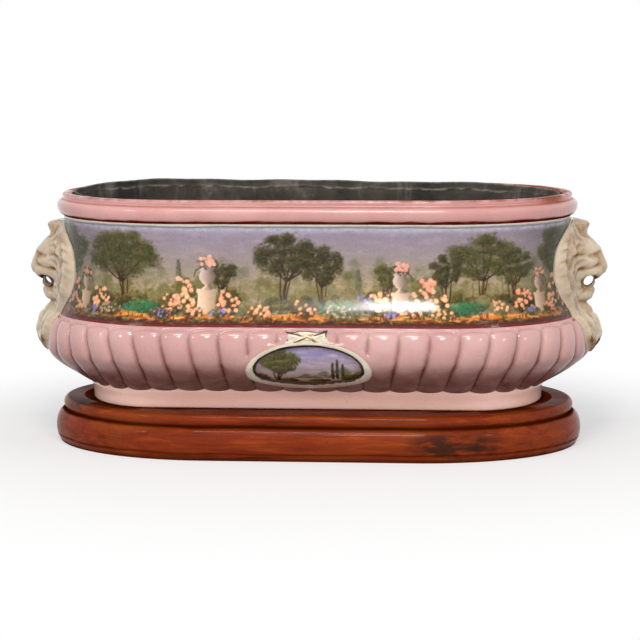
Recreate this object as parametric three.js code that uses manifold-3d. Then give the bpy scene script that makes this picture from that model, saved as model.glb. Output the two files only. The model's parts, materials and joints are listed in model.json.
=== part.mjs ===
// Oval painted ceramic planter with lion-mask handles, a zinc liner and a two-board wooden stand.
// Millimetres. The origin is the centre of the stand's underside: +X to the right end, -Y to the front, +Z up.
import * as THREE from "three";
import { mergeVertices } from "three/addons/utils/BufferGeometryUtils.js";
import Module from "manifold-3d";

// Heights of the layers, from the floor up
const lowerBoardHeight = 29.8;
const upperBoardHeight = 12;
const footHeight = 16.8;
const bowlHeight = 64.4;
const friezeHeight = 92.9;
const rimHeight = 21.7;

// Plan outlines: half of the straight front, and how much further the ends reach than the front and back
const planterStraight = 115;
const footStraight = 150;
const standStraight = 97;
const planterEndReach = 136.5;
const standEndReach = 133.8;

// Half lengths of the planter, at the end of the long axis
const footHalf = 214.3;
const bowlFootHalf = 219.5;
const bulgeHalf = 259.8;
const friezeFootHalf = 246.6;
const waistHalf = 239;
const neckHalf = 240.3;
const bulgeAboveFoot = 33.4;
const waistAboveBowl = 46.5;
const neckSweep = 10;
const wall = 8;
const bowlFootWall = 10.7;

// How the profile curves bend, as shares of their run and rise
const lowerBowlBend = { run: 0.43, rise: 0.326, full: 0.7 };
const upperBowlBend = { full: 0.44, run: 0.56, over: 0.06 };
const friezeFootBend = 0.34;

// Foot ring
const footRingWidth = 9;
const footFlare = 3.7;
const footFlareStart = 8.2;
const footEdgeRound = 1.5;
const floorThickness = 7;

// Lobes round the bowl
const lobesPerQuarter = 12;
const grooveDepth = 4.6;
const footGrooveDepth = 2.4;
const lobeLean = 0.125;
const plainBand = 3.2;

// Rim moulding, measured from the neck
const neckHeight = 4.6;
const torusRadius = 5;
const torusOut = 1.1;
const torusAboveNeck = 5.5;
const torusSweep = { from: -72, to: 58 };
const beadRadius = 2.6;
const beadInset = 1.7;
const beadSweep = { from: -25, to: 90 };
const innerRimRound = 1.6;

// Medallions on the front and the back
const medallionHalfWidth = 57.5;
const medallionHalfHeight = 28.5;
const medallionSideBorder = 8.2;
const medallionTopBorder = 4.2;
const medallionFootBorder = 10.6;
const medallionBelowBulge = 8.5;
const medallionProud = 3;
const medallionMargin = 1;
const medallionAside = 2.6;
const panelDome = 1.4;
const panelEdge = 1;
const panelScales = [1, 0.76, 0.5, 0.24];
const frameSection = [
  [0, 0],
  [0.1, 0.7],
  [0.35, 1],
  [0.7, 0.9],
  [1, 0.55],
  [1, 0],
  [0.75, 0],
  [0.5, 0],
  [0.25, 0],
];

// Ribbon crest, with its shape as shares of its width, height and thickness
const crestHalfWidth = 18;
const crestHeight = 10.2;
const crestProud = 2.2;
const crestFoot = 0.62;
const crestDip = 0.3;
const crestEdgeFall = 0.6;
const crestKnot = 0.4;
const crestKnotWidth = 0.33;

// Lion masks
const maskBelowRim = 4.1;
const maskBelowBulge = 4.5;
const maskDepth = 36;
const maskHalfWidth = 48;
const maskRollHeight = 9;
const maskRollCentre = 0.62;
const maskEdge = 2.4;
const leftMaskDrop = 2;
const mouthOut = 17.8;
const mouthAboveMaskFoot = 65.5;
const mouthRadius = 4.4;
const mouthNarrow = 0.92;
const mouthTall = 1.08;

// Middle line of a mask, from the scroll at its foot to the tuft on top: share of its height, share of its depth
const maskLinePoints = [
  [0, 0.014],
  [0.044, 0.173],
  [0.101, 0.295],
  [0.149, 0.349],
  [0.205, 0.366],
  [0.261, 0.409],
  [0.318, 0.448],
  [0.366, 0.388],
  [0.406, 0.538],
  [0.463, 0.627],
  [0.527, 0.663],
  [0.567, 0.825],
  [0.603, 0.955],
  [0.64, 0.991],
  [0.68, 0.958],
  [0.736, 0.868],
  [0.792, 0.78],
  [0.841, 0.613],
  [0.889, 0.454],
  [0.929, 0.471],
  [0.965, 0.49],
  [0.99, 0.386],
  [1, 0.198],
];

// Half width of a mask, and how wide its face stands out of the mane: share of its height, share of its half width
const maskWidthPoints = [
  [0, 0.2],
  [0.052, 0.34],
  [0.133, 0.42],
  [0.229, 0.46],
  [0.31, 0.5],
  [0.39, 0.68],
  [0.471, 0.88],
  [0.567, 0.99],
  [0.648, 1],
  [0.744, 0.97],
  [0.825, 0.87],
  [0.897, 0.68],
  [0.953, 0.44],
  [1, 0.2],
];
const faceWidthPoints = [
  [0, 0.26],
  [0.133, 0.36],
  [0.278, 0.32],
  [0.366, 0.3],
  [0.463, 0.34],
  [0.527, 0.36],
  [0.599, 0.38],
  [0.68, 0.44],
  [0.776, 0.52],
  [0.873, 0.42],
  [0.953, 0.26],
  [1, 0.2],
];

// Hollows and swellings of the face: place, half sizes and depth, as shares of the mask's size
const faceMarks = [
  { name: "eye", across: 0.31, up: 0.72, wide: 0.125, high: 0.036, out: -0.14 },
  { name: "brow", across: 0.27, up: 0.792, wide: 0.146, high: 0.032, out: 0.07 },
  { name: "muzzle", across: 0.21, up: 0.591, wide: 0.125, high: 0.04, out: 0.097 },
  { name: "cheek", across: 0.354, up: 0.519, wide: 0.125, high: 0.048, out: -0.083 },
];

// Zinc liner
const linerNeckGap = 2;
const linerWaistGap = 9.5;
const linerFootGap = 4;
const sheet = 1;
const linerTilt = 2.4;
const linerTwist = 2.8;
const linerWave = 0.6;
const linerWavesAlong = 9;
const linerWavesAcross = 2;
const creaseDepth = 0.8;
const creaseBelowEdge = 11;
const seamWidth = 12;
const seamX = 46;
const seamStopsBelowCrease = 9;

// Stand boards
const upperNoseHalf = 243.9;
const upperNoseRadius = 5.6;
const upperFootStep = 2.6;
const upperHollow = { step: 0.35, rise: 0.3 };
const lowerNoseHalf = 251.5;
const lowerRoundHeight = 14;
const lowerShoulderHalf = 243.2;
const lowerRoundFrom = -32;
const lowerBandHeight = 7.3;
const lowerBandEdge = 2;
const lowerBandStep = 1.4;
const lowerFootStep = 3.5;

// Screws that hold the boards together, driven from below
const screwX = 150;
const screwY = 45;
const screwLength = 34;
const screwRadius = 2.1;
const screwHeadRadius = 4.4;
const screwHeadHeight = 2.8;
const screwTip = 4;
const counterbore = 3;

// Clearances and fineness
const gap = 0.3;
const maskGap = 0.5;
const endSteps = 24;
const lobeSteps = 4;
const bowlRows = 8;
const medallionSteps = 32;
const maskRows = 25;
const maskColumns = [-1, -0.8, -0.62, -0.45, -0.3, -0.15, 0, 0.15, 0.3, 0.45, 0.62, 0.8, 1];
const mouthSides = 12;
const crestRows = 5;
const crestColumns = 10;
const screwSides = 12;

// Levels
const upperBoardZ = lowerBoardHeight;
const footZ = upperBoardZ + upperBoardHeight;
const bowlZ = footZ + footHeight;
const friezeZ = bowlZ + bowlHeight;
const rimZ = friezeZ + friezeHeight;
const topZ = rimZ + rimHeight;
const bulgeZ = bowlZ + bulgeAboveFoot;
const waistZ = friezeZ + waistAboveBowl;
const maskTop = rimZ - maskBelowRim;
const maskBottom = bulgeZ - maskBelowBulge;
const maskHeight = maskTop - maskBottom;

const materials = {
  pink: new THREE.MeshStandardMaterial({ color: 0xd9a0a4, roughness: 0.22, metalness: 0 }),
  rose: new THREE.MeshStandardMaterial({ color: 0xdb9aa2, roughness: 0.2, metalness: 0 }),
  painted: new THREE.MeshStandardMaterial({ color: 0x7f8471, roughness: 0.25, metalness: 0 }),
  cream: new THREE.MeshStandardMaterial({ color: 0xe0cdae, roughness: 0.25, metalness: 0 }),
  ivory: new THREE.MeshStandardMaterial({ color: 0xd8ccba, roughness: 0.3, metalness: 0 }),
  zinc: new THREE.MeshStandardMaterial({ color: 0x6b6f6b, roughness: 0.55, metalness: 0.8 }),
  walnut: new THREE.MeshStandardMaterial({ color: 0x7a3318, roughness: 0.35, metalness: 0 }),
  steel: new THREE.MeshStandardMaterial({ color: 0x8a8a88, roughness: 0.4, metalness: 0.9 }),
};

// A plan outline: a straight front and back, closed at each end by half an ellipse.
function outline(halfLength, straight, endReach) {
  return { straight, endRun: halfLength - straight, halfWidth: halfLength - endReach };
}

const planterOutline = (half) => outline(half, planterStraight, planterEndReach);
const standOutline = (half) => outline(half, standStraight, standEndReach);

// A station says where a point lies round an outline: its share of the straight run and its angle on the end.
function endStations(straightCuts) {
  const stations = [];
  for (const end of [1, -1]) {
    for (let i = 0; i <= endSteps; i++) {
      const angle = Math.PI * (i / endSteps - 0.5 * end);
      stations.push({ share: end, cos: Math.cos(angle), sin: Math.sin(angle) });
    }
    for (let i = 1; i < straightCuts; i++)
      stations.push({ share: end * (1 - (2 * i) / straightCuts), cos: 0, sin: end });
  }
  return stations;
}

function planPoint(plan, station) {
  return {
    x: station.share * plan.straight + station.cos * plan.endRun,
    y: station.sin * plan.halfWidth,
  };
}

// The station at a share, 0 to 1, of the way along a quarter of the outline, from the front centre to the end.
function quarterStation(plan, share) {
  const steps = 60;
  const lengths = [plan.straight];
  for (let i = 1; i <= steps; i++) {
    const middle = ((i - 0.5) / steps) * (Math.PI / 2);
    const run = Math.hypot(plan.endRun * Math.cos(middle), plan.halfWidth * Math.sin(middle));
    lengths.push(lengths[i - 1] + (run * Math.PI) / 2 / steps);
  }
  const target = share * lengths[steps];
  if (target <= plan.straight) return { share: target / plan.straight, cos: 0, sin: -1 };
  let i = 1;
  while (i < steps && lengths[i] < target) i++;
  const part = Math.min(1, (target - lengths[i - 1]) / (lengths[i] - lengths[i - 1]));
  const angle = ((i - 1 + part) / steps) * (Math.PI / 2);
  return { share: 1, cos: Math.sin(angle), sin: -Math.cos(angle) };
}

// The station at a share, 0 to 1, of the whole way round, counter-clockwise from the front centre.
function roundStation(plan, share, lean) {
  const quarter = Math.floor(share * 4) % 4;
  const along = share * 4 - Math.floor(share * 4);
  const fromCentre = quarter % 2 ? 1 - along : along;
  const leaned = fromCentre * (1 + lean * (1 - fromCentre));
  const s = quarterStation(plan, leaned);
  const right = quarter < 2 ? 1 : -1;
  const back = quarter === 1 || quarter === 2 ? -1 : 1;
  return { share: s.share * right, cos: s.cos * right, sin: s.sin * back };
}

// Points of an arc in a profile: half length across, height up, angles in degrees.
function arc(half, z, radius, from, to, steps) {
  const points = [];
  for (let i = 0; i <= steps; i++) {
    const angle = ((from + ((to - from) * i) / steps) * Math.PI) / 180;
    points.push([half + radius * Math.cos(angle), z + radius * Math.sin(angle)]);
  }
  return points;
}

const curvePoints = (curve, steps) => curve.getPoints(steps).map((p) => [p.x, p.y]);

// Vertices and faces of one closed body
class Body {
  constructor() {
    this.vertices = [];
    this.faces = [];
  }
  ring(points) {
    const first = this.vertices.length / 3;
    for (const p of points) this.vertices.push(p.x, p.y, p.z);
    return points.map((_, i) => first + i);
  }
  band(low, high) {
    const n = low.length;
    for (let i = 0; i < n; i++) {
      const next = (i + 1) % n;
      this.faces.push(low[i], low[next], high[next], low[i], high[next], high[i]);
    }
  }
  // A ring of many points joined to a ring of few, with the same number of fine points to each coarse one.
  stitch(fine, coarse, each, flip) {
    const n = coarse.length;
    const half = Math.floor(each / 2);
    for (let k = 0; k < n; k++) {
      const next = (k + 1) % n;
      for (let j = 0; j < each; j++) {
        const a = fine[k * each + j];
        const b = fine[(k * each + j + 1) % fine.length];
        this.face(a, b, j < half ? coarse[k] : coarse[next], flip);
      }
      this.face(fine[k * each + half], coarse[next], coarse[k], flip);
    }
  }
  face(a, b, c, flip) {
    if (flip) this.faces.push(a, c, b);
    else this.faces.push(a, b, c);
  }
  cap(ring, centre, flip) {
    const middle = this.ring([centre])[0];
    for (let i = 0; i < ring.length; i++) this.face(ring[i], ring[(i + 1) % ring.length], middle, flip);
  }
  geometry() {
    const made = new THREE.BufferGeometry();
    made.setAttribute("position", new THREE.Float32BufferAttribute(this.vertices, 3));
    made.setIndex(this.faces);
    made.computeVertexNormals();
    return made;
  }
}

// A closed profile of [half length, height] points, listed from the outer foot up and back down inside,
// carried round its plan.
function ringGeometry(profile, planOf, stations) {
  const body = new Body();
  const rings = profile.map(([half, z]) => {
    const plan = planOf(half);
    return body.ring(stations.map((s) => ({ ...planPoint(plan, s), z })));
  });
  rings.forEach((ring, i) => body.band(ring, rings[(i + 1) % rings.length]));
  return body.geometry();
}

// The same with a profile that runs from one centre point to the other, for a solid board or floor.
function boardGeometry(profile, planOf, stations) {
  const body = new Body();
  const rings = profile.map(([half, z]) => {
    const plan = planOf(half);
    return body.ring(stations.map((s) => ({ ...planPoint(plan, s), z })));
  });
  for (let i = 1; i < rings.length; i++) body.band(rings[i - 1], rings[i]);
  body.cap(rings[0], { x: 0, y: 0, z: profile[0][1] }, true);
  body.cap(rings[rings.length - 1], { x: 0, y: 0, z: profile[profile.length - 1][1] }, false);
  return body.geometry();
}

const smoothStations = endStations(1);
const wavyStations = endStations(6);

// Outer line of the bowl over the crests of its lobes, from its foot to the frieze
const lowerRun = bulgeHalf - bowlFootHalf;
const lowerBowlCurve = new THREE.CubicBezierCurve(
  new THREE.Vector2(bowlFootHalf, bowlZ),
  new THREE.Vector2(bowlFootHalf + lowerBowlBend.run * lowerRun, bowlZ + lowerBowlBend.rise * bulgeAboveFoot),
  new THREE.Vector2(bulgeHalf, bowlZ + lowerBowlBend.full * bulgeAboveFoot),
  new THREE.Vector2(bulgeHalf, bulgeZ),
);
const shoulder = bowlHeight - bulgeAboveFoot;
const upperRun = bulgeHalf - friezeFootHalf;
const upperBowlCurve = new THREE.CubicBezierCurve(
  new THREE.Vector2(bulgeHalf, bulgeZ),
  new THREE.Vector2(bulgeHalf, bulgeZ + upperBowlBend.full * shoulder),
  new THREE.Vector2(friezeFootHalf + upperBowlBend.run * upperRun, friezeZ - upperBowlBend.over * shoulder),
  new THREE.Vector2(friezeFootHalf, friezeZ),
);

// The straight half of the bowl's plan grows towards its foot, which is squarer.
function bowlOutline(half, z) {
  const low = THREE.MathUtils.clamp((bulgeZ - z) / bulgeAboveFoot, 0, 1);
  return outline(half, planterStraight + (footStraight - planterStraight) * low * low, planterEndReach);
}

// Places along the crest line at the front centre, by length from the bulge, up positive.
const crestLine = [
  ...lowerBowlCurve.getPoints(24),
  ...upperBowlCurve.getPoints(24).slice(1),
].map((p) => ({ out: p.x - planterEndReach, z: p.y }));
const crestLengths = crestLine.map(() => 0);
for (let i = 1; i < crestLine.length; i++)
  crestLengths[i] =
    crestLengths[i - 1] +
    Math.hypot(crestLine[i].out - crestLine[i - 1].out, crestLine[i].z - crestLine[i - 1].z);
const bulgeLength = crestLengths[24];
const panelRise = (medallionFootBorder - medallionTopBorder) / 2;

function crestAt(length) {
  const target = THREE.MathUtils.clamp(length + bulgeLength, 0.01, crestLengths.at(-1) - 0.01);
  let i = 1;
  while (crestLengths[i] < target) i++;
  const part = (target - crestLengths[i - 1]) / (crestLengths[i] - crestLengths[i - 1]);
  const a = crestLine[i - 1];
  const b = crestLine[i];
  const run = Math.hypot(b.out - a.out, b.z - a.z);
  return {
    out: a.out + (b.out - a.out) * part,
    z: a.z + (b.z - a.z) * part,
    normalOut: (b.z - a.z) / run,
    normalUp: -(b.out - a.out) / run,
  };
}

function crestLengthAt(z) {
  let i = 1;
  while (i < crestLine.length - 1 && crestLine[i].z < z) i++;
  const part = (z - crestLine[i - 1].z) / (crestLine[i].z - crestLine[i - 1].z);
  return crestLengths[i - 1] + (crestLengths[i] - crestLengths[i - 1]) * part - bulgeLength;
}

// How deep the grooves are at a place: full on the bowl, none in the plain band and behind a medallion.
function grooveAt(x, z, side) {
  const down = THREE.MathUtils.smoothstep(friezeZ - z, plainBand, 3 * plainBand);
  const up = THREE.MathUtils.smoothstep(z - bowlZ, 0, bulgeAboveFoot);
  const depth = (footGrooveDepth + (grooveDepth - footGrooveDepth) * up) * down;
  const v = crestLengthAt(z) + medallionBelowBulge;
  const clearWidth = medallionHalfWidth + medallionMargin;
  const clearHeight = medallionHalfHeight + medallionMargin;
  const away = Math.hypot((x - side * medallionAside) / clearWidth, v / clearHeight);
  return depth * THREE.MathUtils.smoothstep(away, 1, 1.12);
}

function bowlGeometry() {
  const body = new Body();
  const lobes = 4 * lobesPerQuarter;
  const fine = lobes * lobeSteps;
  const outer = [...curvePoints(lowerBowlCurve, bowlRows / 2), ...curvePoints(upperBowlCurve, bowlRows / 2).slice(1)];
  const rings = outer.map(([half, z]) => {
    const plan = bowlOutline(half, z);
    const lean = lobeLean * THREE.MathUtils.clamp((bulgeZ - z) / bulgeAboveFoot, 0, 1);
    const points = [];
    for (let i = 0; i < fine; i++) {
      const station = roundStation(plan, i / fine, lean);
      const at = planPoint(plan, station);
      const across = 2 * ((i % lobeSteps) / lobeSteps) - 1;
      const drop = grooveAt(at.x, z, at.y < 0 ? 1 : -1) * (1 - Math.sqrt(1 - across * across));
      const nx = station.cos * plan.halfWidth;
      const ny = station.sin * plan.endRun;
      const run = Math.hypot(nx, ny);
      points.push({ x: at.x - (drop * nx) / run, y: at.y - (drop * ny) / run, z });
    }
    return body.ring(points);
  });
  for (let i = 1; i < rings.length; i++) body.band(rings[i - 1], rings[i]);
  const inner = [
    [friezeFootHalf - wall, friezeZ],
    [bulgeHalf - wall, bulgeZ + 0.55 * shoulder],
    [bulgeHalf - wall, bulgeZ - 0.1 * shoulder],
    [0.5 * (bulgeHalf + bowlFootHalf) - wall, bowlZ + 0.5 * bulgeAboveFoot],
    [bowlFootHalf - bowlFootWall, bowlZ],
  ].map(([half, z]) => {
    const plan = bowlOutline(half, z);
    const points = [];
    for (let i = 0; i < lobes; i++) points.push({ ...planPoint(plan, roundStation(plan, i / lobes, 0)), z });
    return body.ring(points);
  });
  for (let i = 1; i < inner.length; i++) body.band(inner[i - 1], inner[i]);
  body.stitch(rings.at(-1), inner[0], lobeSteps, false);
  body.stitch(rings[0], inner.at(-1), lobeSteps, true);
  return body.geometry();
}

function footGeometry() {
  const recess = footHalf - footRingWidth;
  const profile = [
    [recess, footZ + footHeight - floorThickness],
    [recess, footZ],
    [footHalf - footEdgeRound, footZ],
    [footHalf, footZ + footEdgeRound],
    [footHalf, footZ + footFlareStart],
    [footHalf + footFlare, bowlZ],
  ];
  return boardGeometry(profile, (half) => outline(half, footStraight, planterEndReach), smoothStations);
}

const friezeTopCurve = new THREE.QuadraticBezierCurve(
  new THREE.Vector2(waistHalf, waistZ),
  new THREE.Vector2(waistHalf, rimZ - neckSweep),
  new THREE.Vector2(neckHalf, rimZ),
);
const friezeFootCurve = new THREE.QuadraticBezierCurve(
  new THREE.Vector2(friezeFootHalf, friezeZ),
  new THREE.Vector2(waistHalf, friezeZ + friezeFootBend * waistAboveBowl),
  new THREE.Vector2(waistHalf, waistZ),
);

function friezeGeometry() {
  const profile = [
    ...curvePoints(friezeFootCurve, 4),
    ...curvePoints(friezeTopCurve, 3).slice(1),
    [neckHalf - wall, rimZ],
    [waistHalf - wall, waistZ + 0.4 * waistAboveBowl],
    [waistHalf - wall, waistZ - 0.4 * waistAboveBowl],
    [friezeFootHalf - wall, friezeZ],
  ];
  return ringGeometry(profile, planterOutline, smoothStations);
}

function rimGeometry() {
  const torusZ = rimZ + neckHeight + torusAboveNeck;
  const profile = [
    [neckHalf, rimZ],
    [neckHalf, rimZ + neckHeight],
    ...arc(neckHalf + torusOut, torusZ, torusRadius, torusSweep.from, torusSweep.to, 6),
    ...arc(neckHalf - beadInset, topZ - beadRadius, beadRadius, beadSweep.from, beadSweep.to, 3),
    [neckHalf - wall + innerRimRound, topZ],
    [neckHalf - wall, topZ - innerRimRound],
    [neckHalf - wall, rimZ],
  ];
  return ringGeometry(profile, planterOutline, smoothStations);
}

// A raised piece on the bowl's front: each point is x across and v up the crest line, lifted by a height.
function onBowl(x, v, lift) {
  const at = crestAt(v - medallionBelowBulge);
  return { x, y: -(at.out + at.normalOut * (gap + lift)), z: at.z + at.normalUp * (gap + lift) };
}

// An oval at a share, 0 to 1, of the way across the frame's border, drawn in by an inset and then scaled.
function ovalRing(share, lift, inset = 0, scale = 1) {
  const halfWidth = medallionHalfWidth - share * medallionSideBorder - inset;
  const halfHeight =
    medallionHalfHeight - (share * (medallionTopBorder + medallionFootBorder)) / 2 - inset;
  const points = [];
  for (let i = 0; i < medallionSteps; i++) {
    const angle = (2 * Math.PI * i) / medallionSteps;
    const v = share * panelRise + scale * halfHeight * Math.sin(angle);
    points.push(onBowl(scale * halfWidth * Math.cos(angle), v, lift));
  }
  return points;
}

function medallionFrameGeometry() {
  const body = new Body();
  const rings = frameSection.map(([share, high]) => body.ring(ovalRing(share, high * medallionProud)));
  rings.forEach((ring, i) => body.band(ring, rings[(i + 1) % rings.length]));
  return body.geometry();
}

function medallionPanelGeometry() {
  const body = new Body();
  const fronts = panelScales.map((k) => body.ring(ovalRing(1, panelEdge + panelDome * (1 - k * k), gap, k)));
  const backs = panelScales.map((k) => body.ring(ovalRing(1, 0, gap, k)));
  body.band(backs[0], fronts[0]);
  for (let i = 1; i < panelScales.length; i++) {
    body.band(fronts[i - 1], fronts[i]);
    body.band(backs[i], backs[i - 1]);
  }
  body.cap(fronts.at(-1), onBowl(0, panelRise, panelEdge + panelDome), false);
  body.cap(backs.at(-1), onBowl(0, panelRise, 0), true);
  return body.geometry();
}

// A closed body between two grids of points, rows upwards and columns to the right as seen from outside.
function slabGeometry(frontRows, backRows) {
  const body = new Body();
  const front = frontRows.map((row) => body.ring(row));
  const back = backRows.map((row) => body.ring(row));
  const quad = (a, b, c, d) => body.faces.push(a, b, c, a, c, d);
  const top = front.length - 1;
  const last = front[0].length - 1;
  for (let i = 0; i < top; i++) {
    for (let j = 0; j < last; j++) {
      quad(front[i][j], front[i][j + 1], front[i + 1][j + 1], front[i + 1][j]);
      quad(back[i][j + 1], back[i][j], back[i + 1][j], back[i + 1][j + 1]);
    }
    quad(back[i][0], front[i][0], front[i + 1][0], back[i + 1][0]);
    quad(front[i][last], back[i][last], back[i + 1][last], front[i + 1][last]);
  }
  for (let j = 0; j < last; j++) {
    quad(back[0][j], back[0][j + 1], front[0][j + 1], front[0][j]);
    quad(front[top][j], front[top][j + 1], back[top][j + 1], back[top][j]);
  }
  return body.geometry();
}

// Ribbon crest over the frame: two wings drawn up to points, a dip between them and a narrower foot.
function crestGeometry() {
  const foot = medallionHalfHeight + gap;
  const front = [];
  const back = [];
  for (let i = 0; i <= crestRows; i++) {
    const up = i / crestRows;
    const halfWidth = crestHalfWidth * (crestFoot + (1 - crestFoot) * up);
    const frontRow = [];
    const backRow = [];
    for (let j = 0; j <= crestColumns; j++) {
      const share = (2 * j) / crestColumns - 1;
      const x = share * halfWidth;
      const low = foot * Math.sqrt(1 - (x / (medallionHalfWidth + gap)) ** 2) + gap;
      const high = foot + crestHeight * (1 - crestDip * (1 - share * share));
      const v = low + (high - low) * up;
      const edge = Math.max(Math.abs(share), Math.abs(2 * up - 1));
      const knot = crestKnot * Math.max(0, 1 - Math.abs(share) / crestKnotWidth);
      const lift = crestProud * (1 - crestEdgeFall * edge ** 4 + knot);
      frontRow.push(onBowl(x, v, lift));
      backRow.push(onBowl(x, v, 0));
    }
    front.push(frontRow);
    back.push(backRow);
  }
  return slabGeometry(front, back);
}

// Spline through pairs of a place and a value
function spline(pairs) {
  const curve = new THREE.SplineCurve(pairs.map(([place, value]) => new THREE.Vector2(place, value)));
  const samples = curve.getPoints(pairs.length * 12);
  return (place) => {
    let i = 1;
    while (i < samples.length - 1 && samples[i].x < place) i++;
    const a = samples[i - 1];
    const b = samples[i];
    const part = THREE.MathUtils.clamp((place - a.x) / (b.x - a.x), 0, 1);
    return a.y + (b.y - a.y) * part;
  };
}

const maskLine = spline(maskLinePoints);
const maskWidth = spline(maskWidthPoints);
const faceWidth = spline(faceWidthPoints);

// Half length of the planter's wall at an end, over the lobes' crests, at a distance across and a height
function endWall(across, z) {
  let half;
  if (z < friezeZ) half = crestAt(crestLengthAt(z)).out + planterEndReach;
  else {
    const curve = z < waistZ ? friezeFootCurve : friezeTopCurve;
    const points = curve.getPoints(20);
    let i = 1;
    while (i < points.length - 1 && points[i].y < z) i++;
    const part = (z - points[i - 1].y) / (points[i].y - points[i - 1].y);
    half = points[i - 1].x + (points[i].x - points[i - 1].x) * part;
  }
  const plan = bowlOutline(half, z);
  return plan.straight + plan.endRun * Math.sqrt(1 - (across / plan.halfWidth) ** 2);
}

// How far the mask stands off the wall, at a distance across and a share of its height
function maskLift(across, up) {
  const halfWidth = maskHalfWidth * maskWidth(up);
  const face = maskDepth * maskLine(up) * Math.exp(-((across / (maskHalfWidth * faceWidth(up))) ** 2));
  const rollPlace = (Math.abs(across) / halfWidth - maskRollCentre) / (1 - maskRollCentre);
  const roll = maskRollHeight * Math.min(1, maskWidth(up)) * Math.sqrt(Math.max(0, 1 - rollPlace ** 2));
  let lift = Math.cbrt(Math.max(face, 0) ** 3 + roll ** 3);
  for (const mark of faceMarks) {
    const aside = (Math.abs(across) / maskHalfWidth - mark.across) / mark.wide;
    const above = (up - mark.up) / mark.high;
    lift += mark.out * maskDepth * Math.exp(-(aside ** 2) - above ** 2);
  }
  return Math.max(maskEdge, lift);
}

function maskGeometry(wasm, drop) {
  const front = [];
  const back = [];
  for (let i = 0; i <= maskRows; i++) {
    const up = i / maskRows;
    const z = maskBottom + maskHeight * up - drop;
    const places = maskColumns.map((share) => share * maskHalfWidth * maskWidth(up));
    front.push(places.map((y) => ({ x: endWall(y, z) + maskGap + maskLift(y, up), y, z })));
    back.push(places.map((y) => ({ x: endWall(y, z) + maskGap, y, z })));
  }
  const mouthZ = maskBottom + mouthAboveMaskFoot - drop;
  const hole = new THREE.CylinderGeometry(mouthRadius, mouthRadius, 2 * maskHalfWidth, mouthSides);
  hole.scale(mouthNarrow, 1, mouthTall);
  hole.translate(endWall(0, mouthZ) + mouthOut, 0, mouthZ);
  return cut(wasm, slabGeometry(front, back), [hole]);
}

// Booleans
function solid(wasm, geometry) {
  const bare = geometry.clone();
  bare.deleteAttribute("normal");
  bare.deleteAttribute("uv");
  const merged = mergeVertices(bare, 1e-4);
  return new wasm.Manifold(
    new wasm.Mesh({
      numProp: 3,
      vertProperties: new Float32Array(merged.attributes.position.array),
      triVerts: new Uint32Array(merged.index.array),
    }),
  );
}

function cut(wasm, geometry, cutters) {
  let made = solid(wasm, geometry);
  for (const cutter of cutters) made = made.subtract(solid(wasm, cutter));
  const mesh = made.getMesh();
  const result = new THREE.BufferGeometry();
  result.setAttribute("position", new THREE.Float32BufferAttribute(mesh.vertProperties, 3));
  result.setIndex([...mesh.triVerts]);
  result.computeVertexNormals();
  return result;
}

// Liner sheet: straight from its foot to the waist and on to the rim, inside the ceramic by a clearance at each,
// and nowhere wider than what it is lowered through
const linerNeckHalf = neckHalf - wall - linerNeckGap;
const linerWaistHalf = Math.min(linerNeckHalf, waistHalf - wall - linerWaistGap);
const linerFootHalf = Math.min(linerWaistHalf, bowlFootHalf - bowlFootWall - linerFootGap);
const linerFloorTop = bowlZ + sheet;

function linerOutline(z) {
  const below = z < waistZ;
  const share = below ? (z - bowlZ) / (waistZ - bowlZ) : (z - waistZ) / (topZ - waistZ);
  const from = below ? linerFootHalf : linerWaistHalf;
  const to = below ? linerWaistHalf : linerNeckHalf;
  return planterOutline(from + (to - from) * share);
}

// The height of the uneven top edge at a station, and of the crease under it
function linerEdgeZ(station) {
  const x = 0.5 * (station.share + station.cos);
  const y = station.sin;
  const wave = linerWave * Math.sin(linerWavesAlong * x + linerWavesAcross * y);
  return topZ + linerTilt * y - linerTwist * x * (0.5 + 0.5 * y) + wave;
}

const creaseZ = (station) => linerEdgeZ(station) - creaseBelowEdge;

function linerPoint(station, z, inward) {
  const plan = linerOutline(z);
  const narrow = {
    straight: plan.straight,
    endRun: plan.endRun - inward,
    halfWidth: plan.halfWidth - inward,
  };
  return { ...planPoint(narrow, station), z };
}

// The wall bends in a little from the waist up to the crease.
const linerBend = (station, z) =>
  creaseDepth * THREE.MathUtils.clamp((z - waistZ) / (creaseZ(station) - waistZ), 0, 1);

function linerWallGeometry() {
  const body = new Body();
  const heights = [() => linerFloorTop, () => waistZ, creaseZ];
  const wallRing = (height, inward) =>
    body.ring(wavyStations.map((s) => linerPoint(s, height(s), linerBend(s, height(s)) + inward)));
  const edgeRing = (inward) => body.ring(wavyStations.map((s) => linerPoint(s, linerEdgeZ(s), inward)));
  const outer = heights.map((height) => wallRing(height, 0));
  const inner = heights.map((height) => wallRing(height, sheet)).reverse();
  const rings = [...outer, edgeRing(0), edgeRing(sheet), ...inner];
  rings.forEach((ring, i) => body.band(ring, rings[(i + 1) % rings.length]));
  return body.geometry();
}

function linerFloorGeometry() {
  const plan = linerOutline(linerFloorTop);
  const half = plan.straight + plan.endRun;
  const profile = [
    [half, bowlZ],
    [half, linerFloorTop],
  ];
  return boardGeometry(profile, () => plan, smoothStations);
}

// Lap of the sheet, a strip inside the front wall
function linerSeamGeometry() {
  const front = { share: 0, cos: 0, sin: -1 };
  const heights = [linerFloorTop, waistZ, creaseZ(front) - seamStopsBelowCrease];
  const row = (z, inward) => {
    const at = linerPoint(front, z, linerBend(front, z) + inward);
    return [1, -1].map((side) => ({ ...at, x: seamX + (side * seamWidth) / 2 }));
  };
  const inside = heights.map((z) => row(z, 2 * sheet + gap));
  const outside = heights.map((z) => row(z, sheet + gap));
  return slabGeometry(inside, outside);
}

// Screws and their holes
const screwPlaces = [
  [-screwX, -screwY],
  [screwX, -screwY],
  [screwX, screwY],
  [-screwX, screwY],
];

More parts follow.
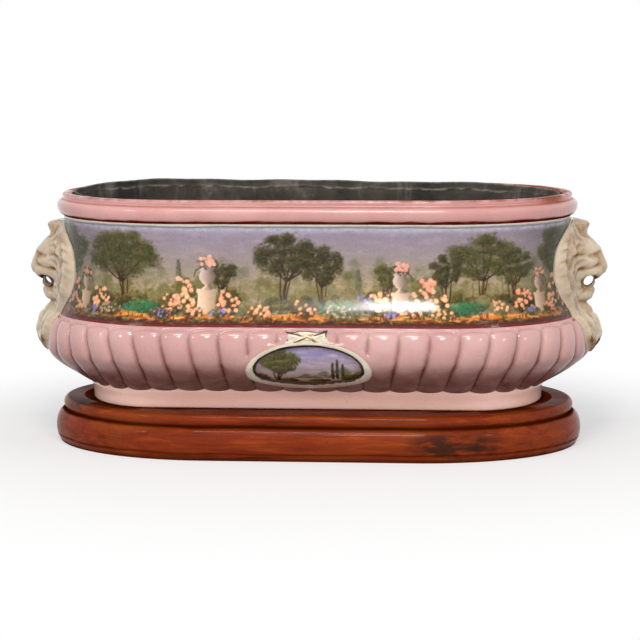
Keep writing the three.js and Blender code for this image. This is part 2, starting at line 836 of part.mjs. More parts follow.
function screwGeometry() {
  const profile = [
    [0, 0],
    [screwHeadRadius, 0],
    [screwRadius, screwHeadHeight],
    [screwRadius, screwLength - screwTip],
    [0, screwLength],
  ].map(([r, z]) => new THREE.Vector2(r, z));
  return new THREE.LatheGeometry(profile, screwSides).rotateX(Math.PI / 2);
}

function screwHole(x, y) {
  const head = screwHeadRadius + gap;
  const shank = screwRadius + gap;
  const profile = [
    [0, -1],
    [head, -1],
    [head, counterbore + gap],
    [shank, counterbore + screwHeadHeight + gap],
    [shank, counterbore + screwLength - screwTip + gap],
    [0, counterbore + screwLength + gap],
  ].map(([r, z]) => new THREE.Vector2(r, z));
  return new THREE.LatheGeometry(profile, screwSides).rotateX(Math.PI / 2).translate(x, y, 0);
}

const boardHoles = () => screwPlaces.map(([x, y]) => screwHole(x, y));

function lowerBoardGeometry(wasm) {
  const steps = 6;
  const profile = [
    [lowerNoseHalf - lowerFootStep, 0],
    [lowerNoseHalf - lowerBandStep, lowerBandHeight - lowerBandEdge],
    [lowerNoseHalf - lowerBandStep, lowerBandHeight],
  ];
  for (let i = 0; i <= steps; i++) {
    const angle = THREE.MathUtils.degToRad(lowerRoundFrom + ((90 - lowerRoundFrom) * i) / steps);
    const out = Math.cos(angle) * (lowerNoseHalf - lowerShoulderHalf);
    const rise = Math.sin(angle) * (lowerBoardHeight - lowerRoundHeight);
    profile.push([lowerShoulderHalf + out, lowerRoundHeight + rise]);
  }
  return cut(wasm, boardGeometry(profile, standOutline, smoothStations), boardHoles());
}

function upperBoardGeometry(wasm) {
  const noseZ = footZ - upperNoseRadius;
  const hollow = [
    upperNoseHalf - upperHollow.step * upperFootStep,
    upperBoardZ + upperHollow.rise * (noseZ - upperBoardZ),
  ];
  const profile = [
    [upperNoseHalf - upperFootStep, upperBoardZ],
    hollow,
    ...arc(upperNoseHalf - upperNoseRadius, noseZ, upperNoseRadius, 0, 90, 5),
  ];
  return cut(wasm, boardGeometry(profile, standOutline, smoothStations), boardHoles());
}

// Assembly
function mesh(name, geometry, material) {
  const made = new THREE.Mesh(geometry, material);
  made.name = name;
  return made;
}

function makeStand(wasm) {
  const group = new THREE.Group();
  group.add(mesh("lower_plinth", lowerBoardGeometry(wasm), materials.walnut));
  group.add(mesh("upper_plinth", upperBoardGeometry(wasm), materials.walnut));
  screwPlaces.forEach(([x, y], i) => {
    const screw = mesh(`plinth_screw_${i + 1}`, screwGeometry(), materials.steel);
    screw.position.set(x, y, counterbore);
    group.add(screw);
  });
  return group;
}

function makePlanter(wasm) {
  const group = new THREE.Group();
  group.add(mesh("planter_foot", footGeometry(), materials.pink));
  group.add(mesh("gadrooned_bowl", bowlGeometry(), materials.pink));
  group.add(mesh("frieze_wall", friezeGeometry(), materials.painted));
  group.add(mesh("rim_moulding", rimGeometry(), materials.rose));
  const ends = [
    ["right", 0, 0],
    ["left", Math.PI, leftMaskDrop],
  ];
  for (const [side, turn, drop] of ends) {
    const mask = mesh(`lion_mask_${side}`, maskGeometry(wasm, drop), materials.cream);
    mask.rotation.z = turn;
    group.add(mask);
  }
  for (const [side, turn] of [["front", 0], ["rear", Math.PI]]) {
    const medallion = new THREE.Group();
    medallion.add(mesh(`medallion_frame_${side}`, medallionFrameGeometry(), materials.ivory));
    medallion.add(mesh(`medallion_panel_${side}`, medallionPanelGeometry(), materials.painted));
    medallion.add(mesh(`ribbon_crest_${side}`, crestGeometry(), materials.ivory));
    medallion.rotation.z = turn;
    medallion.position.x = medallionAside * Math.cos(turn);
    group.add(medallion);
  }
  return group;
}

function makeLiner() {
  const group = new THREE.Group();
  group.add(mesh("liner_wall", linerWallGeometry(), materials.zinc));
  group.add(mesh("liner_floor", linerFloorGeometry(), materials.zinc));
  group.add(mesh("liner_seam", linerSeamGeometry(), materials.zinc));
  return group;
}

const wasm = await Module();
wasm.setup();

const group = new THREE.Group();
group.add(makeStand(wasm));
group.add(makePlanter(wasm));
group.add(makeLiner());

export default group;
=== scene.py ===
# Looks of an oval glazed planter, painted, with a zinc liner and a wooden stand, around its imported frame.
import math

import bpy
import numpy as np
from mathutils import Matrix, Vector
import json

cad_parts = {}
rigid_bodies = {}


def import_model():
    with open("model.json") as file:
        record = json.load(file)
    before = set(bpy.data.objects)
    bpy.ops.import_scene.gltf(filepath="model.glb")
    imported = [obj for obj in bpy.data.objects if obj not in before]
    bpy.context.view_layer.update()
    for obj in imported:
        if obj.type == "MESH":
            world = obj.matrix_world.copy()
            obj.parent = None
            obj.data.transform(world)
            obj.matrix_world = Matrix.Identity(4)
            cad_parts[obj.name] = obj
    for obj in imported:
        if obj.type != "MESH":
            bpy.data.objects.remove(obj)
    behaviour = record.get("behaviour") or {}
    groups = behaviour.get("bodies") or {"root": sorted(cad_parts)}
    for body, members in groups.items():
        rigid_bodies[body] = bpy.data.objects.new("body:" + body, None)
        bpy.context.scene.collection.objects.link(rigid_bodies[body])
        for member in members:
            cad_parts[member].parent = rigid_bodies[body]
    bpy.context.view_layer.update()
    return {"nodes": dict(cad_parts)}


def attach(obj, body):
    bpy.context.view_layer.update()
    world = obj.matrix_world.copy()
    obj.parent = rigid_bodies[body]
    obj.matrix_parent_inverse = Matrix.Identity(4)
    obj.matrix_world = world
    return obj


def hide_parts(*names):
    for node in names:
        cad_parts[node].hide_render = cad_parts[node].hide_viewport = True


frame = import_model()

# Levels and plan of the CAD model, in millimetres
LOWER_BOARD = 29.8
FOOT_Z = LOWER_BOARD + 12
BOWL_Z = FOOT_Z + 16.8
FRIEZE_Z = BOWL_Z + 64.4
RIM_Z = FRIEZE_Z + 92.9
TOP_Z = RIM_Z + 21.7
BULGE_Z = BOWL_Z + 33.4
WAIST_RISE = 46.5
WAIST_Z = FRIEZE_Z + WAIST_RISE
END_REACH = 136.5
STAND_REACH = 133.8
STRAIGHT = 115
FOOT_STRAIGHT = 150
STAND_STRAIGHT = 97
LOWER_BOARD_HALF = 251.5
UPPER_BOARD_HALF = 243.9
FOOT_HALF = 214.3
BOWL_FOOT_HALF = 219.5
BOWL_FOOT_WALL = 10.7
BULGE_HALF = 259.8
FRIEZE_FOOT_HALF = 246.6
WAIST_HALF = 239
NECK_HALF = 240.3
WALL = 8
MEDALLION_ASIDE = 2.6
MEDALLION_DROP = 8.5
OVAL_STEPS = 300


# Curves and outlines

def bezier(points, steps):
    t = np.linspace(0, 1, steps + 1)[:, None]
    p = [np.array(q, float) for q in points]
    while len(p) > 1:
        p = [a + (b - a) * t for a, b in zip(p, p[1:])]
    return p[0]


def smoothstep(x, low, high):
    t = np.clip((np.asarray(x, float) - low) / (high - low), 0, 1)
    return t * t * (3 - 2 * t)


def smooth_between(at, places, values):
    """Smooth curve through values at rising places, for one place or many."""
    slopes = np.gradient(np.array(values, float), np.array(places, float))
    at = np.clip(at, places[0], places[-1])
    i = np.clip(np.searchsorted(places, at, side="right") - 1, 0, len(places) - 2)
    places, values = np.array(places, float), np.array(values, float)
    gap = places[i + 1] - places[i]
    t = (at - places[i]) / gap
    return ((1 + 2 * t) * (1 - t) ** 2 * values[i] + t * (1 - t) ** 2 * gap * slopes[i]
            + t * t * (3 - 2 * t) * values[i + 1] + t * t * (t - 1) * gap * slopes[i + 1])


def arc(half, z, radius, start, end, steps):
    turn = np.radians(np.linspace(start, end, steps + 1))
    return np.c_[half + radius * np.cos(turn), z + radius * np.sin(turn)]


def moved(half, z, places):
    """Places of a profile, given from a half width and a level."""
    return np.array(places, float) + (half, z)


def outline(half, straight=STRAIGHT, reach=END_REACH):
    """Half of the straight run, and the two half axes of the end's ellipse."""
    return straight, half - straight, half - reach


def stations(end_steps, straight_steps):
    """Places round an outline: share of the straight run, cosine and sine on the end."""
    rows = []
    for end in (1, -1):
        for i in range(end_steps + 1):
            turn = math.pi * (i / end_steps - 0.5 * end)
            rows.append((end, math.cos(turn), math.sin(turn)))
        for i in range(1, straight_steps):
            rows.append((end * (1 - 2 * i / straight_steps), 0, end))
    return np.array(rows, float).T


def plan_points(plan, st):
    straight, run, width = plan
    return st[0] * straight + st[1] * run, st[2] * width


def plan_normals(plan, st):
    straight, run, width = plan
    nx = st[1] * width
    ny = st[2] * run
    size = np.hypot(nx, ny)
    return nx / size, ny / size


def quarter_table(plan, steps=60):
    """Lengths from the front centre along a quarter of the outline, with the angle on the end at each."""
    straight, run, width = plan
    middle = (np.arange(steps) + 0.5) / steps * math.pi / 2
    piece = np.hypot(run * np.cos(middle), width * np.sin(middle)) * math.pi / 2 / steps
    return straight + np.r_[0, np.cumsum(piece)], np.linspace(0, math.pi / 2, steps + 1)


def quarters(shares):
    """The quarter of the way round that each share lies in, and its run from the front or back centre."""
    shares = np.asarray(shares, float)
    quarter = np.floor(shares * 4).astype(int) % 4
    along = shares * 4 - np.floor(shares * 4)
    return quarter, np.where(quarter % 2 == 1, 1 - along, along)


def round_stations(plan, shares):
    """Stations at shares 0 to 1 of the way round, counter-clockwise from the front centre."""
    quarter, near = quarters(shares)
    lengths, turns = quarter_table(plan)
    target = near * lengths[-1]
    turn = np.interp(target, lengths, turns)
    straight = target <= plan[0]
    right = np.where(quarter < 2, 1, -1)
    back = np.where((quarter == 1) | (quarter == 2), -1, 1)
    share = right * np.where(straight, target / plan[0], 1)
    cos = right * np.where(straight, 0, np.sin(turn))
    return np.array([share, cos, back * np.where(straight, -1, -np.cos(turn))])


# Meshes

def to_linear(rgb):
    """Linear values of colours given as sRGB 0 to 255."""
    c = np.clip(np.asarray(rgb, float) / 255, 0, 1)
    return np.where(c <= 0.04045, c / 12.92, ((c + 0.055) / 1.055) ** 2.4)


def linear(*rgb):
    return tuple(to_linear(rgb).tolist())


def add_layer(mesh, name, values):
    """A value for each point of a mesh, or a colour where the layer is the paint."""
    if name == "paint":
        layer = mesh.attributes.new(name, "FLOAT_COLOR", "POINT")
        colours = np.c_[to_linear(values), np.ones(len(values))]
        layer.data.foreach_set("color", colours.astype(np.float32).ravel())
    else:
        layer = mesh.attributes.new(name, "FLOAT", "POINT")
        layer.data.foreach_set("value", np.asarray(values, np.float32).ravel())


def make_piece(name, verts, faces, body, nodes, material, layer, values, sharp=None):
    """A finished piece that takes the place of nodes of the frame."""
    mesh = bpy.data.meshes.new(name)
    verts = np.asarray(verts, float).reshape(-1, 3) / 1000
    mesh.vertices.add(len(verts))
    mesh.vertices.foreach_set("co", verts.astype(np.float32).ravel())
    sizes = np.array([len(f) for f in faces], np.int32)
    loops = np.concatenate([np.asarray(f, np.int32) for f in faces])
    mesh.loops.add(len(loops))
    mesh.loops.foreach_set("vertex_index", loops)
    mesh.polygons.add(len(sizes))
    starts = np.r_[0, np.cumsum(sizes)[:-1]].astype(np.int32)
    mesh.polygons.foreach_set("loop_start", starts)
    mesh.polygons.foreach_set("loop_total", sizes)
    mesh.update(calc_edges=True)
    mesh.validate()
    add_layer(mesh, layer, values)
    mesh.shade_smooth()
    if sharp:
        mesh.set_sharp_from_angle(angle=math.radians(sharp))
    mesh.materials.append(material)
    piece = bpy.data.objects.new(name, mesh)
    bpy.context.scene.collection.objects.link(piece)
    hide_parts(*nodes)
    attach(piece, body)
    return piece


def ring_faces(rows, columns, closed=True):
    """Quads between rings of points; closed joins the last ring to the first."""
    count = rows if closed else rows - 1
    i = np.arange(count)[:, None]
    j = np.arange(columns)[None, :]
    up = (i + 1) % rows
    side = (j + 1) % columns
    quads = np.stack([i * columns + j, i * columns + side, up * columns + side, up * columns + j], -1)
    return quads.reshape(-1, 4)


def sheet_faces(rows, columns, first=0, flip=False):
    i = np.arange(rows - 1)[:, None]
    j = np.arange(columns - 1)[None, :]
    a = first + i * columns + j
    quads = np.stack([a, a + 1, a + columns + 1, a + columns], -1).reshape(-1, 4)
    return quads[:, ::-1] if flip else quads


def ring_at(plan, st, z):
    x, y = plan_points(plan, st)
    return np.c_[x, y, np.full(len(x), z)]


def ring_points(profile, plan_of, st):
    return np.array([ring_at(plan_of(half), st, z) for half, z in profile])


def slab(front, back):
    """Closed plate between two grids of points."""
    rows, columns = front.shape[:2]
    count = rows * columns
    edge = np.r_[np.arange(columns), columns * np.arange(1, rows) + columns - 1,
                 count - 2 - np.arange(columns - 1), columns * np.arange(rows - 2, 0, -1)]
    after = np.roll(edge, -1)
    faces = [sheet_faces(rows, columns), sheet_faces(rows, columns, count, flip=True),
             np.c_[edge, edge + count, after + count, after][:, ::-1]]
    return np.r_[front.reshape(-1, 3), back.reshape(-1, 3)], np.concatenate(faces)


def capped(points):
    """Faces and points of a solid board: rings from the middle below to the middle above."""
    rows, columns = points.shape[:2]
    faces = list(ring_faces(rows, columns, closed=False))
    verts = points.reshape(-1, 3)
    low = len(verts)
    faces += [(j, low, (j + 1) % columns)[::-1] for j in range(columns)]
    top = (rows - 1) * columns
    faces += [(top + j, top + (j + 1) % columns, low + 1) for j in range(columns)]
    middles = [[0, 0, points[0, 0, 2]], [0, 0, points[-1, 0, 2]]]
    return np.r_[verts, middles], faces


def noise(points, scale, seed, octaves=3):
    """Smooth seeded noise from sums of waves, about -1 to 1."""
    rng = np.random.default_rng(seed)
    points = np.asarray(points, float)
    total = np.zeros(len(points))
    size = 1.0
    weight = 0.0
    for _ in range(octaves):
        for _ in range(6):
            way = rng.normal(size=points.shape[1])
            way *= 2 * math.pi / scale / size / np.linalg.norm(way) * rng.uniform(0.6, 1.4)
            total += size * np.sin(points @ way + rng.uniform(0, 6.28))
        weight += size * 2.4
        size *= 0.5
    return total / weight


# Materials

class Nodes:
    """Short names for building the nodes of a material or a world."""

    def __init__(self, owner, output):
        self.owner = owner
        owner.use_nodes = True
        self.tree = owner.node_tree
        self.tree.nodes.clear()
        self.out = self.node(output)
        self.place = self.node("TexCoord").outputs["Object"]

    def put(self, socket, value):
        if isinstance(value, bpy.types.NodeSocket):
            self.tree.links.new(value, socket)
        elif isinstance(value, tuple) and len(value) == 3 and socket.type == "RGBA":
            socket.default_value = (*value, 1)
        else:
            socket.default_value = value

    def fill(self, node, inputs):
        for key, value in inputs.items():
            self.put(node.inputs[key.replace("_", " ")], value)
        return node

    def node(self, kind, **inputs):
        return self.fill(self.tree.nodes.new("ShaderNode" + kind), inputs)

    def set(self, **inputs):
        self.fill(self.shader, inputs)

    def field(self, name, output="Fac"):
        node = self.node("Attribute")
        node.attribute_name = name
        return node.outputs[output]

    def math(self, operation, a, b, clamp=False):
        node = self.node("Math")
        node.operation = operation
        node.use_clamp = clamp
        self.put(node.inputs[0], a)
        self.put(node.inputs[1], b)
        return node.outputs[0]

    def times(self, a, b):
        return self.math("MULTIPLY", a, b)

    def less(self, a, b):
        """What a has over b, and not under 0."""
        return self.math("SUBTRACT", a, b, clamp=True)

    def vector(self, operation, a, b=None):
        node = self.node("VectorMath")
        node.operation = operation
        self.put(node.inputs[0], a)
        if b is not None:
            self.put(node.inputs[1], b)
        return node.outputs["Value" if operation == "LENGTH" else "Vector"]

    def noise(self, scale, detail=4.0, rough=0.55, stretch=None, warp=0.0):
        place = self.place
        if stretch:
            place = self.node("Mapping", Vector=place, Scale=stretch).outputs[0]
        values = {"Scale": scale, "Detail": detail, "Roughness": rough, "Distortion": warp}
        return self.node("TexNoise", Vector=place, **values).outputs["Fac"]

    def cells(self, scale, feature="F1"):
        node = self.node("TexVoronoi", Vector=self.place, Scale=scale)
        node.feature = feature
        return node.outputs["Distance"]

    def ramp(self, value, *stops):
        """Eases between stops of a place and a grey from 0 to 1, or an sRGB colour."""
        node = self.node("ValToRGB")
        node.color_ramp.interpolation = "EASE"
        self.put(node.inputs[0], value)
        elements = node.color_ramp.elements
        while len(elements) < len(stops):
            elements.new(0.5)
        for element, (place, colour) in zip(elements, stops):
            element.position = place
            element.color = (*(linear(*colour) if isinstance(colour, tuple) else 3 * [colour]), 1)
        return node.outputs[0]

    def rise(self, value, low, high):
        return self.ramp(value, (low, 0), (high, 1))

    def specks(self, scale, small, large, cloud, low, high):
        """Small round spots, kept only where a cloud of noise runs high."""
        spots = self.ramp(self.cells(scale), (small, 1), (large, 0))
        return self.times(spots, self.rise(cloud, low, high))

    def craze(self, scale, width):
        """A net of fine cracks."""
        return self.ramp(self.cells(scale, "DISTANCE_TO_EDGE"), (0.0, 1), (width, 0))

    def mix(self, share, a, b):
        node = self.node("Mix")
        node.data_type = "RGBA"
        self.fill(node, {"Factor": share, "A": a, "B": b})
        return node.outputs["Result"]

    def stain(self, tone, share, strength, colour):
        """The tone with an sRGB colour laid over it where share says."""
        return self.mix(self.math("MULTIPLY", share, strength, clamp=True), tone, linear(*colour))

    def bump(self, height, strength, distance, normal=None):
        node = self.node("Bump", Strength=strength, Distance=distance, Height=height)
        if normal is not None:
            self.put(node.inputs["Normal"], normal)
        return node.outputs[0]

    def seen(self):
        """1 for what the camera sees directly or in gloss or glass."""
        path = self.node("LightPath").outputs
        either = self.math("MAXIMUM", path["Is Camera Ray"], path["Is Glossy Ray"])
        return self.math("MAXIMUM", either, path["Is Transmission Ray"])

    def show(self, share, a, b):
        """Sends out a mix of two shaders."""
        mix = self.node("MixShader")
        for socket, value in zip(mix.inputs, (share, a.outputs[0], b.outputs[0])):
            self.put(socket, value)
        self.put(self.out.inputs[0], mix.outputs[0])


def new_material(name):
    n = Nodes(bpy.data.materials.new(name), "OutputMaterial")
    n.shader = n.node("BsdfPrincipled")
    n.put(n.out.inputs[0], n.shader.outputs[0])
    return n


SPECK = (70, 40, 30)


def glaze(name, light, deep, dirt_and_shade, dark, patchy=14, coat=0.35, wavy=0.12):
    """Thick glossy glaze over a white body, with crazing, specks and pinholes; where its field says, it
    darkens for pooled glaze, dirt and painted shade.
    """
    n = new_material(name)
    fine = n.noise(160, 4, 0.6)
    pooling_dirt_and_shade = n.field("pooling_dirt_and_shade")
    uneven = n.math("ADD", pooling_dirt_and_shade, n.times(n.math("SUBTRACT", n.noise(70, 5, 0.65), 0.5), pooling_dirt_and_shade))
    tone = n.mix(n.rise(n.noise(patchy, 4, 0.55), 0.3, 0.7), linear(*light), linear(*deep))
    # Where the field says: pooled glaze, dirt and painted shade, deepening to the dark colour past 1
    tone = n.stain(tone, uneven, 0.9, dirt_and_shade)
    tone = n.stain(tone, n.less(uneven, 1.0), 1.0, dark)
    tone = n.stain(tone, n.rise(fine, 0.55, 0.8), 0.12, deep)
    tone = n.stain(tone, n.specks(210, 0.05, 0.11, n.noise(60, 1, 0.5), 0.56, 0.62), 0.6, SPECK)
    tone = n.stain(tone, n.craze(170, 0.022), 0.10, SPECK)
    smudge = n.ramp(n.noise(22, 5, 0.6), (0.35, 0.105), (0.75, 0.266))
    dull = n.less(1.0, n.times(pooling_dirt_and_shade, 0.85))
    wave = n.bump(n.noise(55, 2, 0.5), wavy, 0.0016)
    n.set(Base_Color=tone, Roughness=n.math("ADD", smudge, n.times(n.less(1.0, dull), 0.3)),
          Specular_IOR_Level=n.times(dull, 0.5), Coat_Weight=n.times(dull, coat), Coat_Roughness=0.05,
          Normal=n.bump(fine, 0.10, 0.0003, wave))
    return n.owner


# The third colour of each glaze serves for dirt and painted shade, the fourth is the darkest
pink = glaze("pink_glaze", (212, 167, 163), (199, 151, 147), (100, 54, 44), (70, 30, 24))
# Painted light: the foot's pink is paler than the bowl's, so the foot, sitting in the bowl's shade, still
# shows lit
lit_foot_pink = glaze("foot_glaze", (255, 211, 197), (248, 202, 187), (150, 90, 76), (60, 26, 20))
rose = glaze("rim_glaze", (214, 160, 155), (200, 142, 138), (150, 84, 66), (104, 20, 16))
cream = glaze("cream_glaze", (210, 191, 165), (189, 166, 134), (146, 112, 74), (64, 38, 18), 55, 1.0, 0.5)


def painted(name, rough):
    """Enamel painting under a clear glaze: brush marks, crazing, specks, and a gloss that varies."""
    n = new_material(name)
    fine = n.noise(420, 3, 0.6)
    brush = n.rise(n.noise(90, 5, 0.6, (1, 1, 2.2)), 0.52, 0.78)
    tone = n.mix(n.times(brush, 0.10), n.field("paint", "Color"), (0.72, 0.66, 0.56))
    tone = n.mix(n.times(n.rise(fine, 0.5, 0.75), 0.18), tone, (0.02, 0.016, 0.01))
    tone = n.stain(tone, n.craze(150, 0.02), 0.12, (60, 44, 30))
    tone = n.stain(tone, n.specks(240, 0.05, 0.1, n.noise(50, 1), 0.56, 0.6), 0.6, (44, 30, 22))
    gloss = n.ramp(n.noise(26, 5, 0.6), (0.35, rough * 0.8), (0.75, rough * 1.8))
    wave = n.bump(n.noise(60, 2, 0.5), 0.10, 0.0016)
    n.set(Base_Color=tone, Roughness=gloss, Normal=n.bump(fine, 0.10, 0.0002, wave),
          Specular_IOR_Level=0.16, Coat_Weight=0.25, Coat_Roughness=0.13)
    return n.owner


def wood():
    """Varnished reddish wood: long grain, pores, specks, two dark stains and worn orange streaks, with
    painted shade laid on where the board's shade field says.
    """
    n = new_material("walnut")
    grain = n.noise(14, 8, 0.62, (1.0, 7.0, 14.0), warp=0.6)
    fine = n.noise(60, 6, 0.7, (1.0, 12.0, 30.0))
    ragged = n.rise(n.noise(34, 6, 0.7, (1.0, 2.0, 4.0)), 0.36, 0.56)
    painted_shade = n.field("painted_shade")
    tone = n.ramp(grain, (0.28, (84, 24, 4)), (0.5, (124, 42, 8)), (0.74, (156, 62, 14)))
    tone = n.stain(tone, n.rise(fine, 0.45, 0.75), 0.4, (52, 18, 6))
    tone = n.stain(tone, n.rise(n.noise(9, 4, 0.6, (1.0, 2.0, 3.0)), 0.42, 0.7), 0.35, (156, 76, 26))
    for place, reach in (((0.135, -0.118, 0.016), 0.042), ((-0.222, -0.045, 0.042), 0.026)):
        way = n.vector("MULTIPLY", n.vector("SUBTRACT", n.place, place), (0.75, 0.9, 2.6))
        near = n.less(1.0, n.math("DIVIDE", n.vector("LENGTH", way), reach))
        tone = n.stain(tone, n.times(n.rise(near, 0.0, 0.55), ragged), 0.85, (34, 20, 10))
    tone = n.stain(tone, n.specks(260, 0.08, 0.16, n.noise(30, 2), 0.5, 0.6), 0.7, (40, 16, 8))
    # Painted shade in the board's grooves and creases, along its foot, on its top face and round the
    # planter's foot; the varnish shines less there
    tone = n.stain(tone, painted_shade, 0.85, (26, 10, 5))
    clean = n.less(1.0, n.times(painted_shade, 2.2))
    n.set(Base_Color=tone, Roughness=n.ramp(n.noise(20, 4), (0.3, 0.24), (0.75, 0.42)),
          Normal=n.bump(fine, 0.18, 0.0004, n.bump(n.noise(24, 3), 0.15, 0.002)),
          Specular_IOR_Level=n.times(clean, 0.06), Coat_Weight=n.times(clean, 0.14), Coat_Roughness=0.08)
    return n.owner


def zinc_sheet():
    """Dull weathered sheet: dark patina, paler patches, drips, and white crust along its edge and fold."""
    n = new_material("zinc")
    tone = n.ramp(n.noise(13, 6, 0.65), (0.34, (42, 39, 35)), (0.52, (66, 61, 55)), (0.7, (116, 109, 100)))
    drips = n.rise(n.noise(60, 5, 0.6, (1.0, 1.0, 0.12)), 0.5, 0.72)
    tone = n.stain(tone, drips, 0.5, (128, 122, 112))
    tone = n.stain(tone, n.rise(n.noise(38, 6, 0.7), 0.52, 0.66), 0.5, (34, 30, 26))
    patch = n.ramp(n.noise(120, 4, 0.6), (0.36, 0.25), (0.6, 1))
    tone = n.stain(tone, n.times(n.field("crust"), patch), 0.8, (170, 162, 150))
    n.set(Base_Color=tone, Metallic=0.35, Roughness=n.ramp(n.noise(40, 5), (0.3, 0.5), (0.7, 0.8)),
          Normal=n.bump(n.noise(260, 4, 0.7), 0.2, 0.0004, n.bump(n.noise(35, 3), 0.3, 0.002)),
          Specular_IOR_Level=0.3)
    return n.owner


def screw_steel():
    """Turned steel: fine scratches, a dull cloud and brown spots."""
    n = new_material("screw_steel")
    scratch = n.noise(90, 6, 0.7, (1.0, 1.0, 12.0))
    tone = n.ramp(scratch, (0.35, (104, 103, 100)), (0.7, (150, 149, 146)))
    tone = n.stain(tone, n.rise(n.noise(70, 5, 0.65), 0.56, 0.68), 0.7, (92, 62, 42))
    n.set(Base_Color=tone, Metallic=0.9, Roughness=n.ramp(n.noise(50, 4), (0.3, 0.3), (0.7, 0.55)),
          Normal=n.bump(scratch, 0.25, 0.0003))
    return n.owner


paint_material = painted("painted_glaze", 0.15)
ivory = painted("ivory_glaze", 0.18)
walnut = wood()
zinc = zinc_sheet()


# Foot of the planter

def make_foot():
    profile = np.r_[
        moved(FOOT_HALF, FOOT_Z, [(-69, 9.8), (-9, 9.8), (-9, 0.8), (-7.8, 0), (-2.2, 0)]),
        arc(FOOT_HALF - 1.8, FOOT_Z + 1.8, 1.8, -80, 0, 5),
        moved(FOOT_HALF, FOOT_Z, [(0, 4), (0, 6.5), (0.2, 9), (0.7, 11.5), (1.5, 14)]),
        moved(FOOT_HALF, BOWL_Z, [(2.2, 0), (2.4, 4), (-1.6, 4), (-4, -0.2)]),
    ]
    points = ring_points(profile, lambda half: outline(half, FOOT_STRAIGHT), stations(72, 60))
    verts, faces = capped(points)
    # Painted shade: darker along the foot's lower edge where it stands on the wood, and at its top under the
    # bowl's overhang
    low = smoothstep(verts[:, 2], FOOT_Z + 2.0, FOOT_Z)
    high = smoothstep(verts[:, 2], BOWL_Z - 1, BOWL_Z + 4)
    make_piece("foot_ring", verts, faces, "planter", ["planter_foot"], lit_foot_pink,
               "pooling_dirt_and_shade", 0.7 * low + 0.7 * high, sharp=60)


# Bowl with lobes

LOBES = 48
LOBE_STEPS = 16
LEAN_LENGTHS = [-58, -48, -40, -32, -22, -14, -4, 5, 12, 18, 28, 34]
LEANS = [0.108, 0.082, 0.052, 0.016, -0.02, -0.044, -0.056, -0.044, -0.024, -0.006, 0.014, 0.016]
RIGHT_LEANS = [0.116, 0.088, 0.064, 0.04, 0.014, -0.002, -0.007, 0.007, 0.026, 0.04, 0.062, 0.068]
GROOVE = 3.5
FOOT_GROOVE = 2.0
SHOULDER = FRIEZE_Z - BULGE_Z


class Line:
    """Profile of the bowl from a foot point to the frieze, by its length from the bulge, up positive."""

    def __init__(self, foot, steps):
        lower = bezier([foot, (236.8, 69.5), (BULGE_HALF, 82), (BULGE_HALF, BULGE_Z)], steps)
        bend = FRIEZE_FOOT_HALF + 0.56 * (BULGE_HALF - FRIEZE_FOOT_HALF)
        upper = bezier([(BULGE_HALF, BULGE_Z), (BULGE_HALF, BULGE_Z + 0.44 * SHOULDER),
                        (bend, FRIEZE_Z - 0.06 * SHOULDER), (FRIEZE_FOOT_HALF, FRIEZE_Z)], steps)
        self.points = np.r_[lower, upper[1:]]
        sizes = np.hypot(*np.diff(self.points, axis=0).T)
        self.lengths = np.r_[0, np.cumsum(sizes)]
        self.bulge = self.lengths[len(lower) - 1]
        self.ways = np.diff(self.points, axis=0) / sizes[:, None]
        self.middles = (self.lengths[1:] + self.lengths[:-1]) / 2

    def at(self, length):
        """Half width and level there, and the way out of the surface."""
        s = np.clip(np.asarray(length, float) + self.bulge, 0, self.lengths[-1])
        half, z = (np.interp(s, self.lengths, self.points[:, k]) for k in (0, 1))
        dx, dz = (np.interp(s, self.middles, self.ways[:, k]) for k in (0, 1))
        size = np.hypot(dx, dz)
        return half, z, dz / size, -dx / size


crest = Line((BOWL_FOOT_HALF - 4, BOWL_Z - 0.6), 60)
cad_crest = Line((BOWL_FOOT_HALF, BOWL_Z), 24)


def lobe_shares(shares, length):
    """Places of the lobes round the bowl at a length up from the bulge: they lean, more in two quarters."""
    quarter, near = quarters(shares)
    odd = quarter % 2 == 1
    lean, right_lean = (smooth_between(length, LEAN_LENGTHS, leans) for leans in (LEANS, RIGHT_LEANS))
    near = near * (1 + np.where(odd, lean, right_lean) * (1 - near ** 5))
    return (quarter + np.where(odd, 1 - near, near)) / 4


def bowl_outline(half, z):
    low = np.clip((BULGE_Z - z) / (BULGE_Z - BOWL_Z), 0, 1)
    return outline(half, STRAIGHT + (FOOT_STRAIGHT - STRAIGHT) * low * low)


def lobe_drop(x, side, s, length):
    """How far the surface lies under the crests: s runs -1 to 1 across a lobe, length up from the bulge."""
    below = crest.lengths[-1] - crest.bulge - 2.6 - length
    up = smoothstep(crest.at(length)[1], BOWL_Z, BULGE_Z)
    deep = FOOT_GROOVE + (GROOVE - FOOT_GROOVE) * up
    deep = 2.5 + (deep - 2.5) * smoothstep(below, 1.0, 15)
    dome = np.clip((9 - below) / 9, 0, 3)
    r = (np.abs(s) ** 2.5 + dome ** 2.5) ** (1 / 2.5)
    inside = 0.75 * np.clip(r, 0, 1) ** 2.1 + 0.25 * np.clip(r, 0, 1) ** 6
    outside = np.exp(-np.clip(r - 1, 0, None) * 9)
    away = np.hypot((x - side * MEDALLION_ASIDE) / 58.5, (length + MEDALLION_DROP) / 29.5)
    return deep * np.where(r < 1, inside, outside) * smoothstep(away, 1, 1.12)


